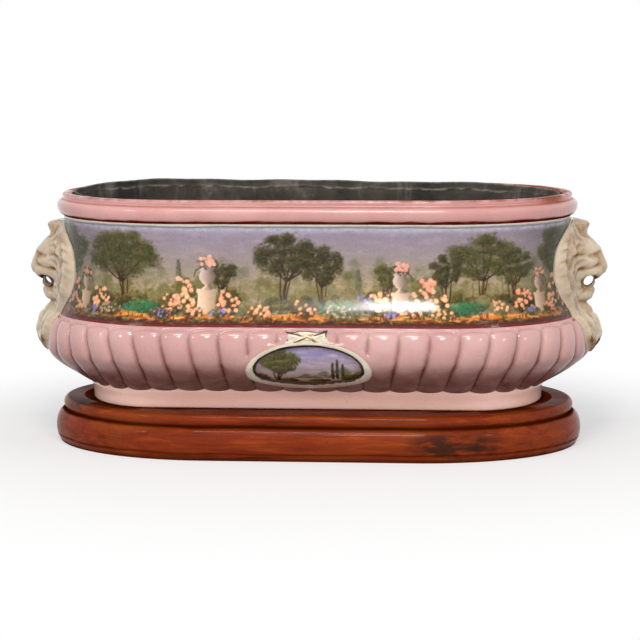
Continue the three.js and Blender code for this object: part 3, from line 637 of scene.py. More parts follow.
def make_bowl():
    share = np.linspace(0, 1, 74)
    lengths = crest.lengths[-1] * (share - 0.06 * np.sin(2 * math.pi * share)) - crest.bulge
    columns = LOBES * LOBE_STEPS
    place = np.arange(columns)
    s = np.sin(math.pi * (place % LOBE_STEPS / LOBE_STEPS - 0.5))
    shares = (place // LOBE_STEPS + 0.5 + 0.5 * s) / LOBES
    rows = []
    pooling_dirt_and_shade = []
    for length in lengths:
        half, z, out, up = (float(v) for v in crest.at(length))
        plan = bowl_outline(half, z)
        st = round_stations(plan, lobe_shares(shares, length))
        x, y = plan_points(plan, st)
        nx, ny = plan_normals(plan, st)
        drop = lobe_drop(x, np.where(y < 0, 1, -1), s, length)
        rows.append(np.c_[x - drop * out * nx, y - drop * out * ny, z - drop * up])
        # Painted shade on the lower lobes, deepening towards the foot; darker grooves where the glaze pools
        under = 0.56 * float(smoothstep(length, 26, -14)) + 0.36 * float(smoothstep(length, -6, -38))
        pooling_dirt_and_shade.append(smoothstep(drop, 1.2, 3.6) * 0.5 + under)
    for half, z in [
        (FRIEZE_FOOT_HALF - WALL, FRIEZE_Z),
        (BULGE_HALF - WALL, BULGE_Z + 0.55 * SHOULDER),
        (BULGE_HALF - WALL, BULGE_Z - 0.1 * SHOULDER),
        (0.5 * (BULGE_HALF + BOWL_FOOT_HALF) - WALL, BOWL_Z + 17),
        (BOWL_FOOT_HALF - BOWL_FOOT_WALL, BOWL_Z + 1.5),
    ]:
        plan = bowl_outline(half, z)
        rows.append(ring_at(plan, round_stations(plan, shares), z))
        pooling_dirt_and_shade.append(np.zeros(columns))
    # The underside next to the foot takes full painted shade
    for half, z in [(FOOT_HALF - 4, BOWL_Z + 1.5), (FOOT_HALF + 0.5, BOWL_Z + 0.6)]:
        plan = outline(half, FOOT_STRAIGHT)
        rows.append(ring_at(plan, round_stations(plan, lobe_shares(shares, lengths[0])), z))
        pooling_dirt_and_shade.append(np.ones(columns))
    make_piece("lobed_bowl", rows, ring_faces(len(rows), columns), "planter", ["gadrooned_bowl"],
               pink, "pooling_dirt_and_shade", pooling_dirt_and_shade)


# Painting

class Canvas:
    """A painting of soft dabs, in millimetres: u to the right, v up, colours as sRGB 0 to 255."""

    def __init__(self, width, height, step=0.6, seed=0):
        self.step = step
        self.rows = int(height / step) + 2
        self.columns = int(round(width / step)) + 1
        self.width = width
        self.v = np.arange(self.rows) * step
        self.u = np.arange(self.columns) * step
        self.rgb = np.zeros((self.rows, self.columns, 3))
        self.rng = np.random.default_rng(seed)
        self.draw = self.rng.uniform

    def wash(self, height, levels, colours):
        """Bands of colour that pass into each other from the foot up."""
        for c in range(3):
            self.rgb[:, :, c] = np.interp(height, levels, [colour[c] for colour in colours])

    def pick(self, palette, low, high):
        """A colour from between two shares of the way through a palette."""
        at = self.draw(low, high) * (len(palette) - 1)
        i = min(len(palette) - 2, int(at))
        return palette[i] + (palette[i + 1] - palette[i]) * (at - i) + self.rng.normal(0, 4, 3)

    def mark(self, u, v, long, short, tones, strength, turn=0.0, soft=1.6):
        """A dab with half widths, colour and turn drawn from their limits."""
        long, short = self.draw(*long), self.draw(*short)
        colour = self.pick(*tones)
        self.dab(u, v, long, short, colour, strength, self.draw(-turn, turn) if turn else 0.0, soft)

    def dab(self, u, v, long, short, colour, strength=1.0, turn=0.0, soft=1.6):
        reach = max(long, short)
        i, k = max(0, int((v - reach) / self.step)), min(self.rows, int((v + reach) / self.step) + 2)
        j, m = max(0, int((u - reach) / self.step)), min(self.columns, int((u + reach) / self.step) + 2)
        if i >= k or j >= m:
            return
        dv = self.v[i:k, None] - v
        du = self.u[None, j:m] - u
        c, s = math.cos(turn), math.sin(turn)
        near = ((du * c + dv * s) / long) ** 2 + ((dv * c - du * s) / short) ** 2
        cover = strength * np.clip(soft * (1 - near), 0, 1)
        part = self.rgb[i:k, j:m]
        part += (colour - part) * cover[:, :, None]

    def stroke(self, points, start, end, colour, strength=0.9):
        """A tapered brush line through points, from one width to another."""
        points = np.array(points, float)
        steps = np.hypot(*np.diff(points, axis=0).T)
        lengths = np.r_[0, np.cumsum(steps)]
        count = max(2, int(lengths[-1] / max(0.35, 0.5 * min(start, end))))
        for t in np.linspace(0, 1, count):
            at = t * lengths[-1]
            width = start + (end - start) * t
            self.dab(np.interp(at, lengths, points[:, 0]), np.interp(at, lengths, points[:, 1]),
                     width / 2 + 0.35, width / 2 + 0.35, colour, strength)

    def shape(self, u, rows, light, dark, strength=0.95):
        """A turned form such as an urn: rows of (height, half width), lit from the left."""
        rows = np.array(rows, float)
        for v in np.arange(rows[0, 0], rows[-1, 0], self.step * 0.7):
            half = np.interp(v, rows[:, 0], rows[:, 1])
            for x in np.arange(-half, half + 0.01, 0.55):
                share = x / max(half, 0.1)
                shade = np.clip(0.5 + 0.5 * share, 0, 1)
                self.dab(u + x, v, 0.6, 0.6, light * (1 - shade) + dark * shade, strength)

    def sample(self, u, v):
        """Colours between the canvas's points."""
        x = np.clip(np.asarray(u, float) / self.step, 0, self.columns - 1.001)
        y = np.clip(np.asarray(v, float) / self.step, 0, self.rows - 1.001)
        i, j = y.astype(int), x.astype(int)
        fy, fx = (y - i)[..., None], (x - j)[..., None]
        low = self.rgb[i, j] * (1 - fx) + self.rgb[i, j + 1] * fx
        high = self.rgb[i + 1, j] * (1 - fx) + self.rgb[i + 1, j + 1] * fx
        return low * (1 - fy) + high * fy


OLIVE = np.array([(50, 52, 34), (74, 77, 46), (103, 102, 62), (138, 134, 92)], float)
DEEP = np.array([(42, 42, 28), (62, 62, 38), (86, 84, 52), (112, 110, 74)], float)
GREY_GREEN = np.array([(78, 86, 74), (100, 106, 90), (122, 126, 106), (148, 148, 126)], float)
TEAL = np.array([(34, 74, 60), (46, 98, 78), (70, 126, 100), (120, 150, 118)], float)
BROWN = np.array([(46, 30, 20), (80, 52, 32), (122, 84, 46), (166, 118, 66)], float)
BARK = np.array([(44, 34, 26), (70, 54, 38), (100, 82, 58), (132, 114, 86)], float)
BLUSH = np.array([(156, 92, 80), (196, 136, 120), (216, 170, 156), (232, 208, 196)], float)
PEACH = np.array([(150, 100, 82), (200, 148, 126), (220, 182, 162), (236, 218, 202)], float)
VIOLET = np.array([(72, 74, 150), (98, 100, 176), (134, 134, 196), (178, 176, 214)], float)
STONE = np.array([(108, 102, 96), (150, 142, 136), (182, 174, 168), (208, 200, 196)], float)


def leaves(canvas, u, v, wide, high, palette, count, size, strength, tone=0.0):
    """A mass of leaf dabs, dark below and to the right, light above and to the left."""
    draw = canvas.draw
    for _ in range(count):
        turn, far = draw(0, 6.283), math.sqrt(draw(0, 1))
        x, y = math.cos(turn) * far, math.sin(turn) * far
        lit = 0.42 + 0.26 * y - 0.2 * x + canvas.rng.normal(0, 0.16) + tone
        lit = min(0.99, max(0.0, lit))
        small = size * draw(0.55, 1.25) * (1.15 - 0.45 * far)
        canvas.dab(u + x * wide, v + y * high, small * 1.35, small * 0.8,
                   canvas.pick(palette, lit * 0.85, lit), strength * draw(0.5, 1), draw(-0.9, 0.9))


def tree(canvas, u, foot, top, spread, palette, lean, density):
    """A garden tree: a forked trunk and a crown of leaf masses with the sky between them."""
    draw, pick = canvas.draw, canvas.pick
    tall = top - foot
    fork = foot + tall * draw(0.26, 0.36)
    head = (u + lean, foot + 0.68 * tall)
    masses = []
    count = int(12 * density)
    for i in range(count):
        turn = 2 * math.pi * (i + draw(-0.35, 0.35)) / count
        far = (1, 0.95, 0.42)[i % 3] * draw(0.85, 1.1)
        x, y = math.cos(turn) * far, math.sin(turn) * far
        masses.append((head[0] + x * spread * 0.37, head[1] + y * tall * 0.23,
                       spread * draw(0.11, 0.2), tall * draw(0.07, 0.13)))
    trunk = [(u, foot), (u + 0.3 * lean + draw(-1.5, 1.5), (foot + fork) / 2), (u + 0.6 * lean, fork)]
    for a, b, w, h in masses:
        for _ in range(7):
            x, y = a + draw(-0.5, 0.5) * w, b + draw(-0.5, 0.5) * h
            canvas.mark(x, y, (0.5 * w, 0.95 * w), (0.5 * h, 0.95 * h), (palette, 0.05, 0.5), 0.42, 0.4, 1.0)
    canvas.stroke(trunk, tall * 0.035 + 0.8, tall * 0.022 + 0.5, pick(BARK, 0.0, 0.25), 0.85)
    canvas.stroke([(x - 0.5, y) for x, y in trunk], 0.6, 0.4, pick(BARK, 0.6, 0.9), 0.4)
    for k in (-1, 1):
        middle = (u + k * draw(2, 3.4), (foot + fork) / 2)
        side = [(u + k * 1.2, foot), middle, (trunk[-1][0] + k * 5, fork + 7)]
        canvas.stroke(side, 1.4, 0.6, pick(BARK, 0.0, 0.3), 0.45)
    for a, b, w, h in masses[::2]:
        bend = ((trunk[-1][0] + a) / 2 + draw(-3, 3), (fork + b) / 2 - 2.0)
        canvas.stroke([trunk[-1], bend, (a, b)], 1.1, 0.4, pick(BARK, 0.0, 0.3), 0.75)
    for a, b, w, h in masses:
        leaves(canvas, a, b, w * 1.12, h * 1.12, palette, int(80 * density), 1.15, 0.62, -0.02)
        few = int(34 * density)
        leaves(canvas, a - 0.2 * w, b + 0.25 * h, w * 0.8, h * 0.7, palette, few, 0.85, 0.7, 0.16)
    for _ in range(int(150 * density)):
        turn, far = draw(0, 6.283), draw(0.7, 1.06)
        x, y = math.cos(turn) * far, math.sin(turn) * far
        canvas.mark(head[0] + x * spread * 0.49, head[1] + y * tall * 0.32, (0.9, 3.2), (0.5, 1.3),
                    (palette, 0.3, 0.85), 0.2, 0.8, 1.0)


def cypress(canvas, u, foot, top, wide, palette):
    for t in np.linspace(0, 1, int((top - foot) * 2.2)):
        half = wide / 2 * math.sin(math.pi * min(1, 0.12 + 0.88 * (1 - t))) ** 0.7 * (1 - t * 0.35)
        for _ in range(3):
            x = canvas.draw(-1, 1)
            tone = canvas.pick(palette, 0.15, 0.55 - 0.25 * x)
            canvas.dab(u + x * half, foot + t * (top - foot), 0.7, 1.5, tone, 0.7)


def bush(canvas, u, v, wide, high, palette, count, flowers=None, many=0, bloom=0):
    leaves(canvas, u, v, wide, high, palette, count, 1.9, 0.7, -0.12)
    leaves(canvas, u - 0.1 * wide, v + 0.15 * high, wide * 0.9, high * 0.85, palette, count, 1.2, 0.8, 0.1)
    for _ in range(many):
        x, y = canvas.draw(-0.85, 0.85), canvas.draw(-0.6, 0.9)
        size = bloom * canvas.draw(0.7, 1.3)
        flower(canvas, u + x * wide * math.sqrt(1 - 0.6 * y * y), v + y * high, size, flowers)


def flower(canvas, u, v, size, palette):
    """An open bloom: a darker heart with pale petals round it."""
    pick = canvas.pick
    canvas.dab(u, v, size * 1.15, size, pick(palette, 0.2, 0.5), 0.9)
    petals = 3 if size < 1.6 else 7
    for k in range(petals):
        turn = 6.283 * (k + canvas.draw(-0.2, 0.2)) / petals
        canvas.dab(u + 0.5 * size * math.cos(turn), v + 0.5 * size * math.sin(turn) + 0.15 * size, size * 0.5,
                   size * 0.36, pick(palette, 0.55, 1.0), 0.8, turn)
    canvas.dab(u + 0.1 * size, v - 0.1 * size, size * 0.28, size * 0.24, pick(palette, 0.0, 0.3), 0.7)


def grass(canvas, u, v, palette, tall):
    draw = canvas.draw
    for _ in range(5):
        x = u + draw(-4, 4)
        height = tall * draw(0.5, 1.2)
        sway = draw(-0.5, 0.5) * height
        canvas.stroke([(x, v), (x + 0.3 * sway, v + 0.6 * height), (x + sway, v + height)], 0.7, 0.3,
                      canvas.pick(palette, 0.1, 0.9), 0.7)


URN_BLOCK = [(0, 7), (1.5, 7), (1.6, 5.8), (13, 5.6), (13.1, 6.6), (14.8, 6.6)]
URN_BODY = [(0, 3), (1, 3.1), (1.8, 1.3), (3, 1.2), (4, 2.8), (6.5, 4.8), (9, 5), (11, 4), (12.2, 3.8),
            (13, 5.4), (13.9, 5.6)]


def urn(canvas, u, foot, scale, flowers):
    """A stone garden vase on a plinth, full of flowers."""
    canvas.shape(u, [(foot + v * scale, w * scale) for v, w in URN_BLOCK], STONE[3], STONE[1])
    base = foot + URN_BLOCK[-1][0] * scale
    canvas.shape(u, [(base + v * scale, w * scale) for v, w in URN_BODY], STONE[3], STONE[0])
    for k in range(-3, 4):
        canvas.dab(u + k * 1.3 * scale, base + 6 * scale, 0.3, 2.6 * scale, STONE[1], 0.4)
    canvas.dab(u, base + 13.3 * scale, 5.2 * scale, 0.5, STONE[3], 0.7)
    top = base + 14 * scale
    leaves(canvas, u, top + 2.6 * scale, 6.5 * scale, 4.4 * scale, DEEP, 60, 1.3, 0.85)
    for _ in range(12):
        turn, far = canvas.draw(0, 3.14), 6 * canvas.draw(0.2, 1)
        size = canvas.draw(1.1, 1.9) * scale
        x, y = math.cos(turn) * far * scale, (1 + math.sin(turn) * far) * scale
        flower(canvas, u + x, top + y, size, flowers)
    for side in (-1, 1):
        spray = [(u + side * x * scale, top - y * scale) for x, y in ((4, 0), (7.5, 2), (8.5, 6))]
        canvas.stroke(spray, 0.8, 0.4, DEEP[2], 0.8)


SKY_LEVELS = [0, 22, 36, 52, 70, 82, 90, 94]
SKY = [(150, 146, 132), (158, 152, 138), (164, 156, 146), (156, 151, 148), (147, 145, 149), (145, 143, 152),
       (158, 160, 172), (168, 170, 180)]
SAND = np.array([(168, 124, 78), (196, 154, 102), (214, 178, 128), (136, 92, 54)], float)


def backdrop(canvas):
    """Sky, far hills and meadow."""
    draw, rng = canvas.draw, canvas.rng
    v = canvas.v[:, None]
    turn = 2 * math.pi * canvas.u[None, :] / canvas.width
    waves = ((3, 1, 0.4), (7, 0.7, 2.2), (13, 0.5, 4.1), (29, 0.3, 1.3))
    canvas.wash(v - 2.0 * sum(high * np.sin(k * turn + start) for k, high, start in waves), SKY_LEVELS, SKY)
    for _ in range(900):
        x, y = draw(0, canvas.width), draw(34, 90)
        tint = np.array([192, 184, 188]) if rng.random() < 0.45 else np.array([140, 136, 154])
        canvas.dab(x, y, draw(5, 16), draw(1.2, 3.5), tint + rng.normal(0, 5, 3), 0.13,
                   draw(-0.12, 0.12), 1.0)
    hill = 33 + 4.5 * np.sin(5 * turn + 1) + 3 * np.sin(11 * turn + 2) + 1.2 * np.sin(31 * turn)
    canvas.rgb += ((128, 132, 136) - canvas.rgb) * np.clip((hill - v) / 5, 0, 0.8)[:, :, None]
    for _ in range(2600):
        x, y = draw(0, canvas.width), draw(9, 34)
        far = (y - 9) / 25
        tint = canvas.pick(GREY_GREEN if rng.random() < far else OLIVE, 0.35 + 0.2 * far, 0.85)
        canvas.dab(x, y, draw(2, 6.5), draw(0.8, 2.2), tint, 0.42 * (1 - 0.55 * far), draw(-0.25, 0.25), 1.2)


def path(canvas, start, end, height, thick):
    """A sandy path in the foreground."""
    draw, rng = canvas.draw, canvas.rng
    for _ in range(int((end - start) * 5)):
        t = draw(0, 1)
        x = start + (end - start) * t
        body = math.sin(math.pi * t) ** 0.6
        y = height + thick * 0.5 * draw(-1, 1) * body + 1.4 * math.sin(0.07 * x)
        tint = SAND[rng.integers(4)]
        canvas.dab(x, y, draw(5, 13), draw(0.5, 1.2), tint + rng.normal(0, 5, 3), 0.5, draw(-0.1, 0.1), 1.2)


def earth(canvas):
    """Dark earth along the foot, with warm strokes over it."""
    draw = canvas.draw
    for _ in range(int(canvas.width * 2.4)):
        x, y = draw(0, canvas.width), abs(canvas.rng.normal(0, 2.6)) + 1.5
        canvas.mark(x, y, (2, 6), (0.6, 1.3), (BROWN, 0.0, 0.4), 0.75, 0.15)
    for _ in range(int(canvas.width * 0.5)):
        x, y = draw(0, canvas.width), draw(3.5, 9)
        canvas.mark(x, y, (1.5, 5), (0.35, 0.7), (BROWN, 0.55, 1.0), 0.6, 0.3)


def haze_tree(canvas, u, foot, top, wide, palette):
    """A pale tree in the middle distance, mostly soft mass."""
    draw = canvas.draw
    tall = top - foot

    def place():
        t = draw(0, 1)
        return t, wide * math.sin(math.pi * (0.15 + 0.8 * t)) ** 0.7

    for _ in range(22):
        t, reach = place()
        canvas.mark(u + draw(-0.6, 0.6) * reach, foot + t * tall, (wide * 0.25, wide * 0.5),
                    (tall * 0.07, tall * 0.15), (palette, 0.2, 0.7), 0.34, 0.5, 1.0)
    for _ in range(110):
        t, reach = place()
        x = draw(-1, 1)
        canvas.mark(u + x * reach, foot + t * tall, (0.9, 2.2), (0.5, 1.1),
                    (palette, 0.25 + 0.2 * t, 0.8 - 0.2 * x), 0.45, 0.7)
    trunk = [(u, foot - 2), (u + draw(-2, 2), foot + 0.5 * tall)]
    canvas.stroke(trunk, 1.0, 0.4, canvas.pick(BARK, 0.2, 0.6), 0.3)


# Planting of the garden, from the middle of each side: trees as place, foot, top, spread, lean and density,
# urns as place, two palettes of flowers, size and way, then flower beds
TREES = [
    (-172, 19, 87, 84, -4, 1.35), (-21, 17, 87, 58, 3, 1.15), (14, 18, 74, 42, -1, 1.0),
    (161, 18, 85, 68, 3, 1.2), (190, 19, 72, 48, 2, 1.0), (-247, 13, 92, 66, -3, 1.5),
    (250, 13, 91, 66, 3, 1.5),
    (-78, 22, 62, 26, 0, 0.8), (74, 22, 58, 26, 0, 0.8), (128, 21, 66, 30, -1, 0.9),
]
URNS = [
    (-92, PEACH, BLUSH, 1.45, 1), (86, BLUSH, PEACH, 1.3, -1), (-219, BLUSH, PEACH, 1.05, 1),
    (222, PEACH, BLUSH, 1.1, -1),
]
BEDS = [
    (30, 13, 19, 7, GREY_GREEN, STONE, 24, 1.2), (-44, 14, 15, 7, OLIVE, BLUSH, 20, 1.5),
    (124, 12, 13, 5, OLIVE, PEACH, 15, 1.4), (-134, 12, 12, 5, DEEP, VIOLET, 12, 1.3),
    (-2, 16, 12, 8, DEEP, BLUSH, 16, 1.4), (176, 17, 10, 7, GREY_GREEN, PEACH, 14, 1.5),
    (-186, 14, 14, 6, OLIVE, STONE, 18, 1.2), (52, 22, 8, 9, OLIVE, VIOLET, 8, 1.7),
]


def garden(canvas):
    """A garden all the way round: far trees, cypresses, garden trees, bushes, paths, urns and flower beds."""
    draw, rng = canvas.draw, canvas.rng
    round_ = canvas.width
    sides = ((round_ / 4, 1), (round_ * 3 / 4, -1))
    backdrop(canvas)
    for apart, foot, top, wide, palette in (
        (12, (20, 25), (36, 62), (8, 16), GREY_GREEN), (15, (14, 20), (28, 50), (8, 15), OLIVE),
    ):
        for x in np.arange(0, round_, apart):
            haze_tree(canvas, x + draw(-7, 7), draw(*foot), draw(*top), draw(*wide), palette)
    mist = 0.3 * smoothstep(canvas.v, 18, 30) * smoothstep(canvas.v, 72, 52)
    canvas.rgb += (np.array((140, 142, 114)) - canvas.rgb) * mist[:, None, None]
    for x in [-115, 51, 121, -290, 290]:
        for centre in (round_ / 4, round_ * 3 / 4 - 9):
            cypress(canvas, centre + x + draw(-5, 5), 20, draw(46, 62), draw(6, 10), GREY_GREEN)
    for centre, flip in sides:
        for x, foot, top, spread, lean, density in TREES:
            x = centre + flip * x + (draw(-9, 9) if flip < 0 else 0)
            palette = OLIVE if rng.random() < 0.6 else DEEP
            tree(canvas, x, foot, top, spread, palette, flip * lean, density)
            bush(canvas, x + draw(8, 16), foot + 5, spread * 0.17, 7, OLIVE, 80)
            bush(canvas, x - draw(8, 16), foot + 4, spread * 0.15, 6, DEEP, 70)
    for x in np.arange(0, round_, 30):
        x = x + draw(-12, 12)
        palette = (OLIVE, GREY_GREEN, DEEP, OLIVE, GREY_GREEN)[rng.integers(5)]
        bush(canvas, x, draw(14, 22), draw(9, 19), draw(4, 8), palette, 90)
    for x in (-151, 143, 30):
        bush(canvas, round_ / 4 + x, 16, 21, 7, TEAL, 150)
        bush(canvas, round_ * 3 / 4 - x + 12, 15, 18, 6, TEAL, 120)
    for x in np.arange(10, round_, 84):
        path(canvas, x + draw(-14, 10), x + draw(66, 90), draw(7, 10), draw(4, 7))
    earth(canvas)
    for centre, flip in sides:
        for x, flowers, second, size, way in URNS:
            x = centre + flip * x
            way *= flip
            bush(canvas, x - 22 * way, 27, 13, 18, OLIVE, 190, flowers, 30, 2.2)
            bush(canvas, x - 34 * way, 19, 10, 11, DEEP, 120, second, 18, 1.9)
            urn(canvas, x, 12, size, flowers)
            bush(canvas, x + 20 * way, 21, 12, 12, DEEP, 150, second, 24, 2.0)
            bush(canvas, x - 11 * way, 13, 9, 5, DEEP, 60, second, 12, 1.6)
            bush(canvas, x + 11 * way, 12, 8, 4, OLIVE, 60, VIOLET, 8, 1.5)
        for x, v, wide, high, palette, flowers, many, bloom in BEDS:
            bush(canvas, centre + flip * x, v, wide, high, palette, 90, flowers, many, bloom)
    for x in np.arange(0, round_, 7):
        grass(canvas, x + draw(-3, 3), draw(3, 9), OLIVE if rng.random() < 0.75 else BROWN, draw(2, 4.5))
    return canvas


# Painted frieze

def frieze_profile(steps):
    low = bezier([(FRIEZE_FOOT_HALF, FRIEZE_Z), (WAIST_HALF, FRIEZE_Z + 0.34 * WAIST_RISE),
                  (WAIST_HALF, WAIST_Z)], 200)
    high = bezier([(WAIST_HALF, WAIST_Z), (WAIST_HALF, RIM_Z - 10), (NECK_HALF, RIM_Z)], 200)
    line = np.r_[low, high[1:]]
    z = np.linspace(FRIEZE_Z, RIM_Z, steps + 1)
    return np.c_[np.interp(z, line[:, 1], line[:, 0]), z]


FRIEZE_COLUMNS = 740
FRIEZE_ROWS = 116
FRIEZE_HEIGHT = 94
ROUND = 1193.0


def enriched(rgb):
    """Deeper and fuller colours, to stand out under the gloss of the clear glaze."""
    grey = rgb.mean(-1, keepdims=True)
    return np.clip((grey + 1.1 * (rgb - grey) - 104) * 1.2 + 98, 4, 250)


def frieze_colours(canvas, u, v):
    """The garden with its painted borders: a cream cove and a grey line above, a dark red band below."""
    rgb = canvas.sample(u, v)
    ground = smoothstep(v, 60, 20)[:, None]
    rgb = rgb * (np.array([0.92, 0.87, 0.88]) * (1 - ground) + np.array([1.06, 0.96, 0.85]) * ground)
    aside = np.abs(u % (ROUND / 2) - ROUND / 4)
    rgb = enriched(rgb) * (1 - 0.26 * smoothstep(aside, 170, 262))[:, None]
    ripple = noise(np.c_[u, v * 0], 60, 5)[:, None]
    fine = noise(np.c_[u, v], 9, 6)[:, None]
    v = v[:, None]

    def lay(colour, share):
        nonlocal rgb
        rgb = rgb + (np.array(colour, float) - rgb) * np.clip(share, 0, 1)

    lay((176, 176, 192), 0.75 * smoothstep(v, 84.5, 89) * (0.8 + 0.4 * fine))
    lay((104, 104, 104), 0.8 * smoothstep(v, 89.0 + 0.3 * ripple, 90.2 + 0.3 * ripple))
    lay((224, 214, 200), 0.85 * smoothstep(v, 90.8 + 0.3 * ripple, 91.8 + 0.3 * ripple))
    lay((62, 30, 22), 0.85 * smoothstep(v, 5.0 + 0.9 * ripple + 0.6 * fine, 2.8 + 0.6 * ripple))
    lay((104, 20, 16), smoothstep(v, 2.5 + 0.35 * ripple, 1.9 + 0.35 * ripple))
    return rgb


def make_frieze():
    canvas = garden(Canvas(ROUND, FRIEZE_HEIGHT, seed=41))
    outer = frieze_profile(FRIEZE_ROWS)
    inner = [(NECK_HALF - WALL, RIM_Z), (WAIST_HALF - WALL, WAIST_Z + 18), (WAIST_HALF - WALL, WAIST_Z - 18),
             (FRIEZE_FOOT_HALF - WALL, FRIEZE_Z)]
    along = np.linspace(0, 1, FRIEZE_COLUMNS + 1)
    columns = len(along)
    count = len(outer) + len(inner)
    for k, side in enumerate(("front", "rear")):
        rows = []
        for half, z in [*outer, *inner]:
            plan = outline(half)
            row = ring_at(plan, round_stations(plan, (0.5 * (along + k) - 0.25) % 1), z)
            row[[0, -1], 1] = 0
            row[[0, -1], 0] = np.array([-half, half]) * (1 - 2 * k)
            rows.append(row)
        points = np.array(rows)
        faces = ring_faces(count, columns).reshape(count, columns, 4)[:, :-1].reshape(-1, 4)
        end = np.arange(count) * columns
        u = np.repeat(((along + k) * ROUND / 2)[None, :], count, 0).ravel()
        colour = frieze_colours(canvas, u, points[:, :, 2].ravel() - FRIEZE_Z)
        colour[np.repeat(np.arange(count) > FRIEZE_ROWS, columns)] = (206, 190, 166)
        make_piece(f"painted_frieze_{side}", points, [*faces, end, (end + columns - 1)[::-1]], "planter",
                   ["frieze_wall"], paint_material, "paint", colour, sharp=60)


# Rim moulding

def make_rim():
    torus_z = RIM_Z + 10.1
    under = np.radians(np.linspace(-82, 0, 16))
    over = np.radians(np.linspace(6, 60, 11))
    profile = np.r_[
        moved(NECK_HALF, RIM_Z, [(0, 0), (0.3, 0.4), (0.5, 1.0)]),
        np.c_[NECK_HALF + 1.1 + 5 * np.cos(under), torus_z + 8.7 * np.sin(under)],
        np.c_[NECK_HALF + 1.1 + 5 * np.cos(over), torus_z + 5 * np.sin(over)],
        moved(NECK_HALF, TOP_Z, [(2.2, -6.6), (1.2, -6.0), (0.6, -5.0)]),
        arc(NECK_HALF - 1.7, TOP_Z - 2.6, 2.6, -36, 96, 12),
        moved(NECK_HALF, TOP_Z, [(-4.5, -0.25), (-6.2, -0.4)]),
        arc(NECK_HALF - WALL + 1.6, TOP_Z - 2.2, 1.6, 90, 180, 5),
        [[NECK_HALF - WALL, TOP_Z - 8], [NECK_HALF - WALL, RIM_Z]],
    ]
    st = stations(150, 150)
    points = ring_points(profile, outline, st)
    rows, columns = points.shape[:2]
    flat = points.reshape(-1, 3)
    ripple = noise(np.c_[points[5, :, 0], points[5, :, 1]], 42, 15)
    patch = noise(flat, 24, 16)
    fine = noise(flat, 7, 17)
    half = np.repeat(profile[:, 0] - NECK_HALF, columns)
    z = flat[:, 2] + np.tile(0.7 * ripple, rows)
    # Under the torus a dark red painted line with painted shade above it; painted shade in the crease below
    # the bead; the inner ring, the worn top and the rust are dirt and wear
    line = smoothstep(z, RIM_Z + 3.3, RIM_Z + 2.5) * (half > -1)
    shade = smoothstep(z, RIM_Z + 4.8, RIM_Z + 2.8) * (half > -1)
    painted_shade = np.exp(-((flat[:, 2] - TOP_Z + 5.9) / 0.8) ** 2) * (half > 0)
    inner = smoothstep(half, -3.6, -5.2)
    worn = smoothstep(flat[:, 2], TOP_Z - 3.5, TOP_Z - 0.5) * np.clip(0.45 + 0.5 * patch + 0.3 * fine, 0, 1)
    rust = np.exp(-((flat[:, 0] - 226) / 17) ** 2 - ((flat[:, 1] + 62) / 24) ** 2)
    rust = rust * smoothstep(flat[:, 2], TOP_Z - 9, TOP_Z - 4)
    brown = np.clip(0.3 * shade + 0.9 * painted_shade + inner * (1.0 + 0.5 * patch) + worn + 1.1 * rust, 0, 1.1)
    pooling_dirt_and_shade = np.maximum(1.9 * line, brown)
    make_piece("rim", flat, ring_faces(rows, columns), "planter", ["rim_moulding"], rose,
               "pooling_dirt_and_shade", np.clip(pooling_dirt_and_shade, 0, 2))


# Lion masks

MASK_TOP = RIM_Z - 4.1
MASK_FOOT = BULGE_Z - 4.5
MASK_HEIGHT = MASK_TOP - MASK_FOOT
MASK_DEPTH = 36
MASK_HALF = 48
mask_line = [
    (0, 0.014), (0.044, 0.173), (0.101, 0.295), (0.149, 0.349), (0.205, 0.366), (0.261, 0.409),
    (0.318, 0.448), (0.366, 0.388), (0.406, 0.538), (0.463, 0.627), (0.527, 0.663), (0.567, 0.825),
    (0.603, 0.955), (0.64, 0.991), (0.68, 0.958), (0.736, 0.868), (0.792, 0.78), (0.841, 0.613),
    (0.889, 0.454), (0.929, 0.471), (0.965, 0.49), (0.99, 0.386), (1, 0.198),
]
mask_width = [
    (0, 0.26), (0.052, 0.42), (0.133, 0.55), (0.229, 0.62), (0.31, 0.62), (0.39, 0.74), (0.471, 0.9),
    (0.567, 1), (0.648, 1.03), (0.744, 1.01), (0.825, 0.93), (0.897, 0.74), (0.953, 0.48), (1, 0.2),
]
face_width = [
    (0, 0.26), (0.133, 0.36), (0.278, 0.32), (0.366, 0.3), (0.463, 0.34), (0.527, 0.36), (0.599, 0.38),
    (0.68, 0.44), (0.776, 0.52), (0.873, 0.42), (0.953, 0.26), (1, 0.2),
]


def spline(pairs, at):
    """Catmull-Rom curve through pairs of a place and a value."""
    p = np.array(pairs, float)
    ends = np.r_[[2 * p[0] - p[1]], p, [2 * p[-1] - p[-2]]]
    curve = []
    for a, b, c, d in zip(ends, ends[1:], ends[2:], ends[3:]):
        t = np.linspace(0, 1, 12, endpoint=False)[:, None]
        curve.append(0.5 * (2 * b + (c - a) * t + (2 * a - 5 * b + 4 * c - d) * t ** 2
                            + (3 * b - a - 3 * c + d) * t ** 3))
    curve = np.concatenate(curve + [p[-1:]])
    return np.interp(at, curve[:, 0], curve[:, 1])


wall_line = np.r_[cad_crest.points, frieze_profile(60)[1:]]


def end_wall(across, z):
    half = np.interp(z, wall_line[:, 1], wall_line[:, 0])
    straight, run, width = bowl_outline(half, z)
    return straight + run * np.sqrt(1 - (across / width) ** 2)
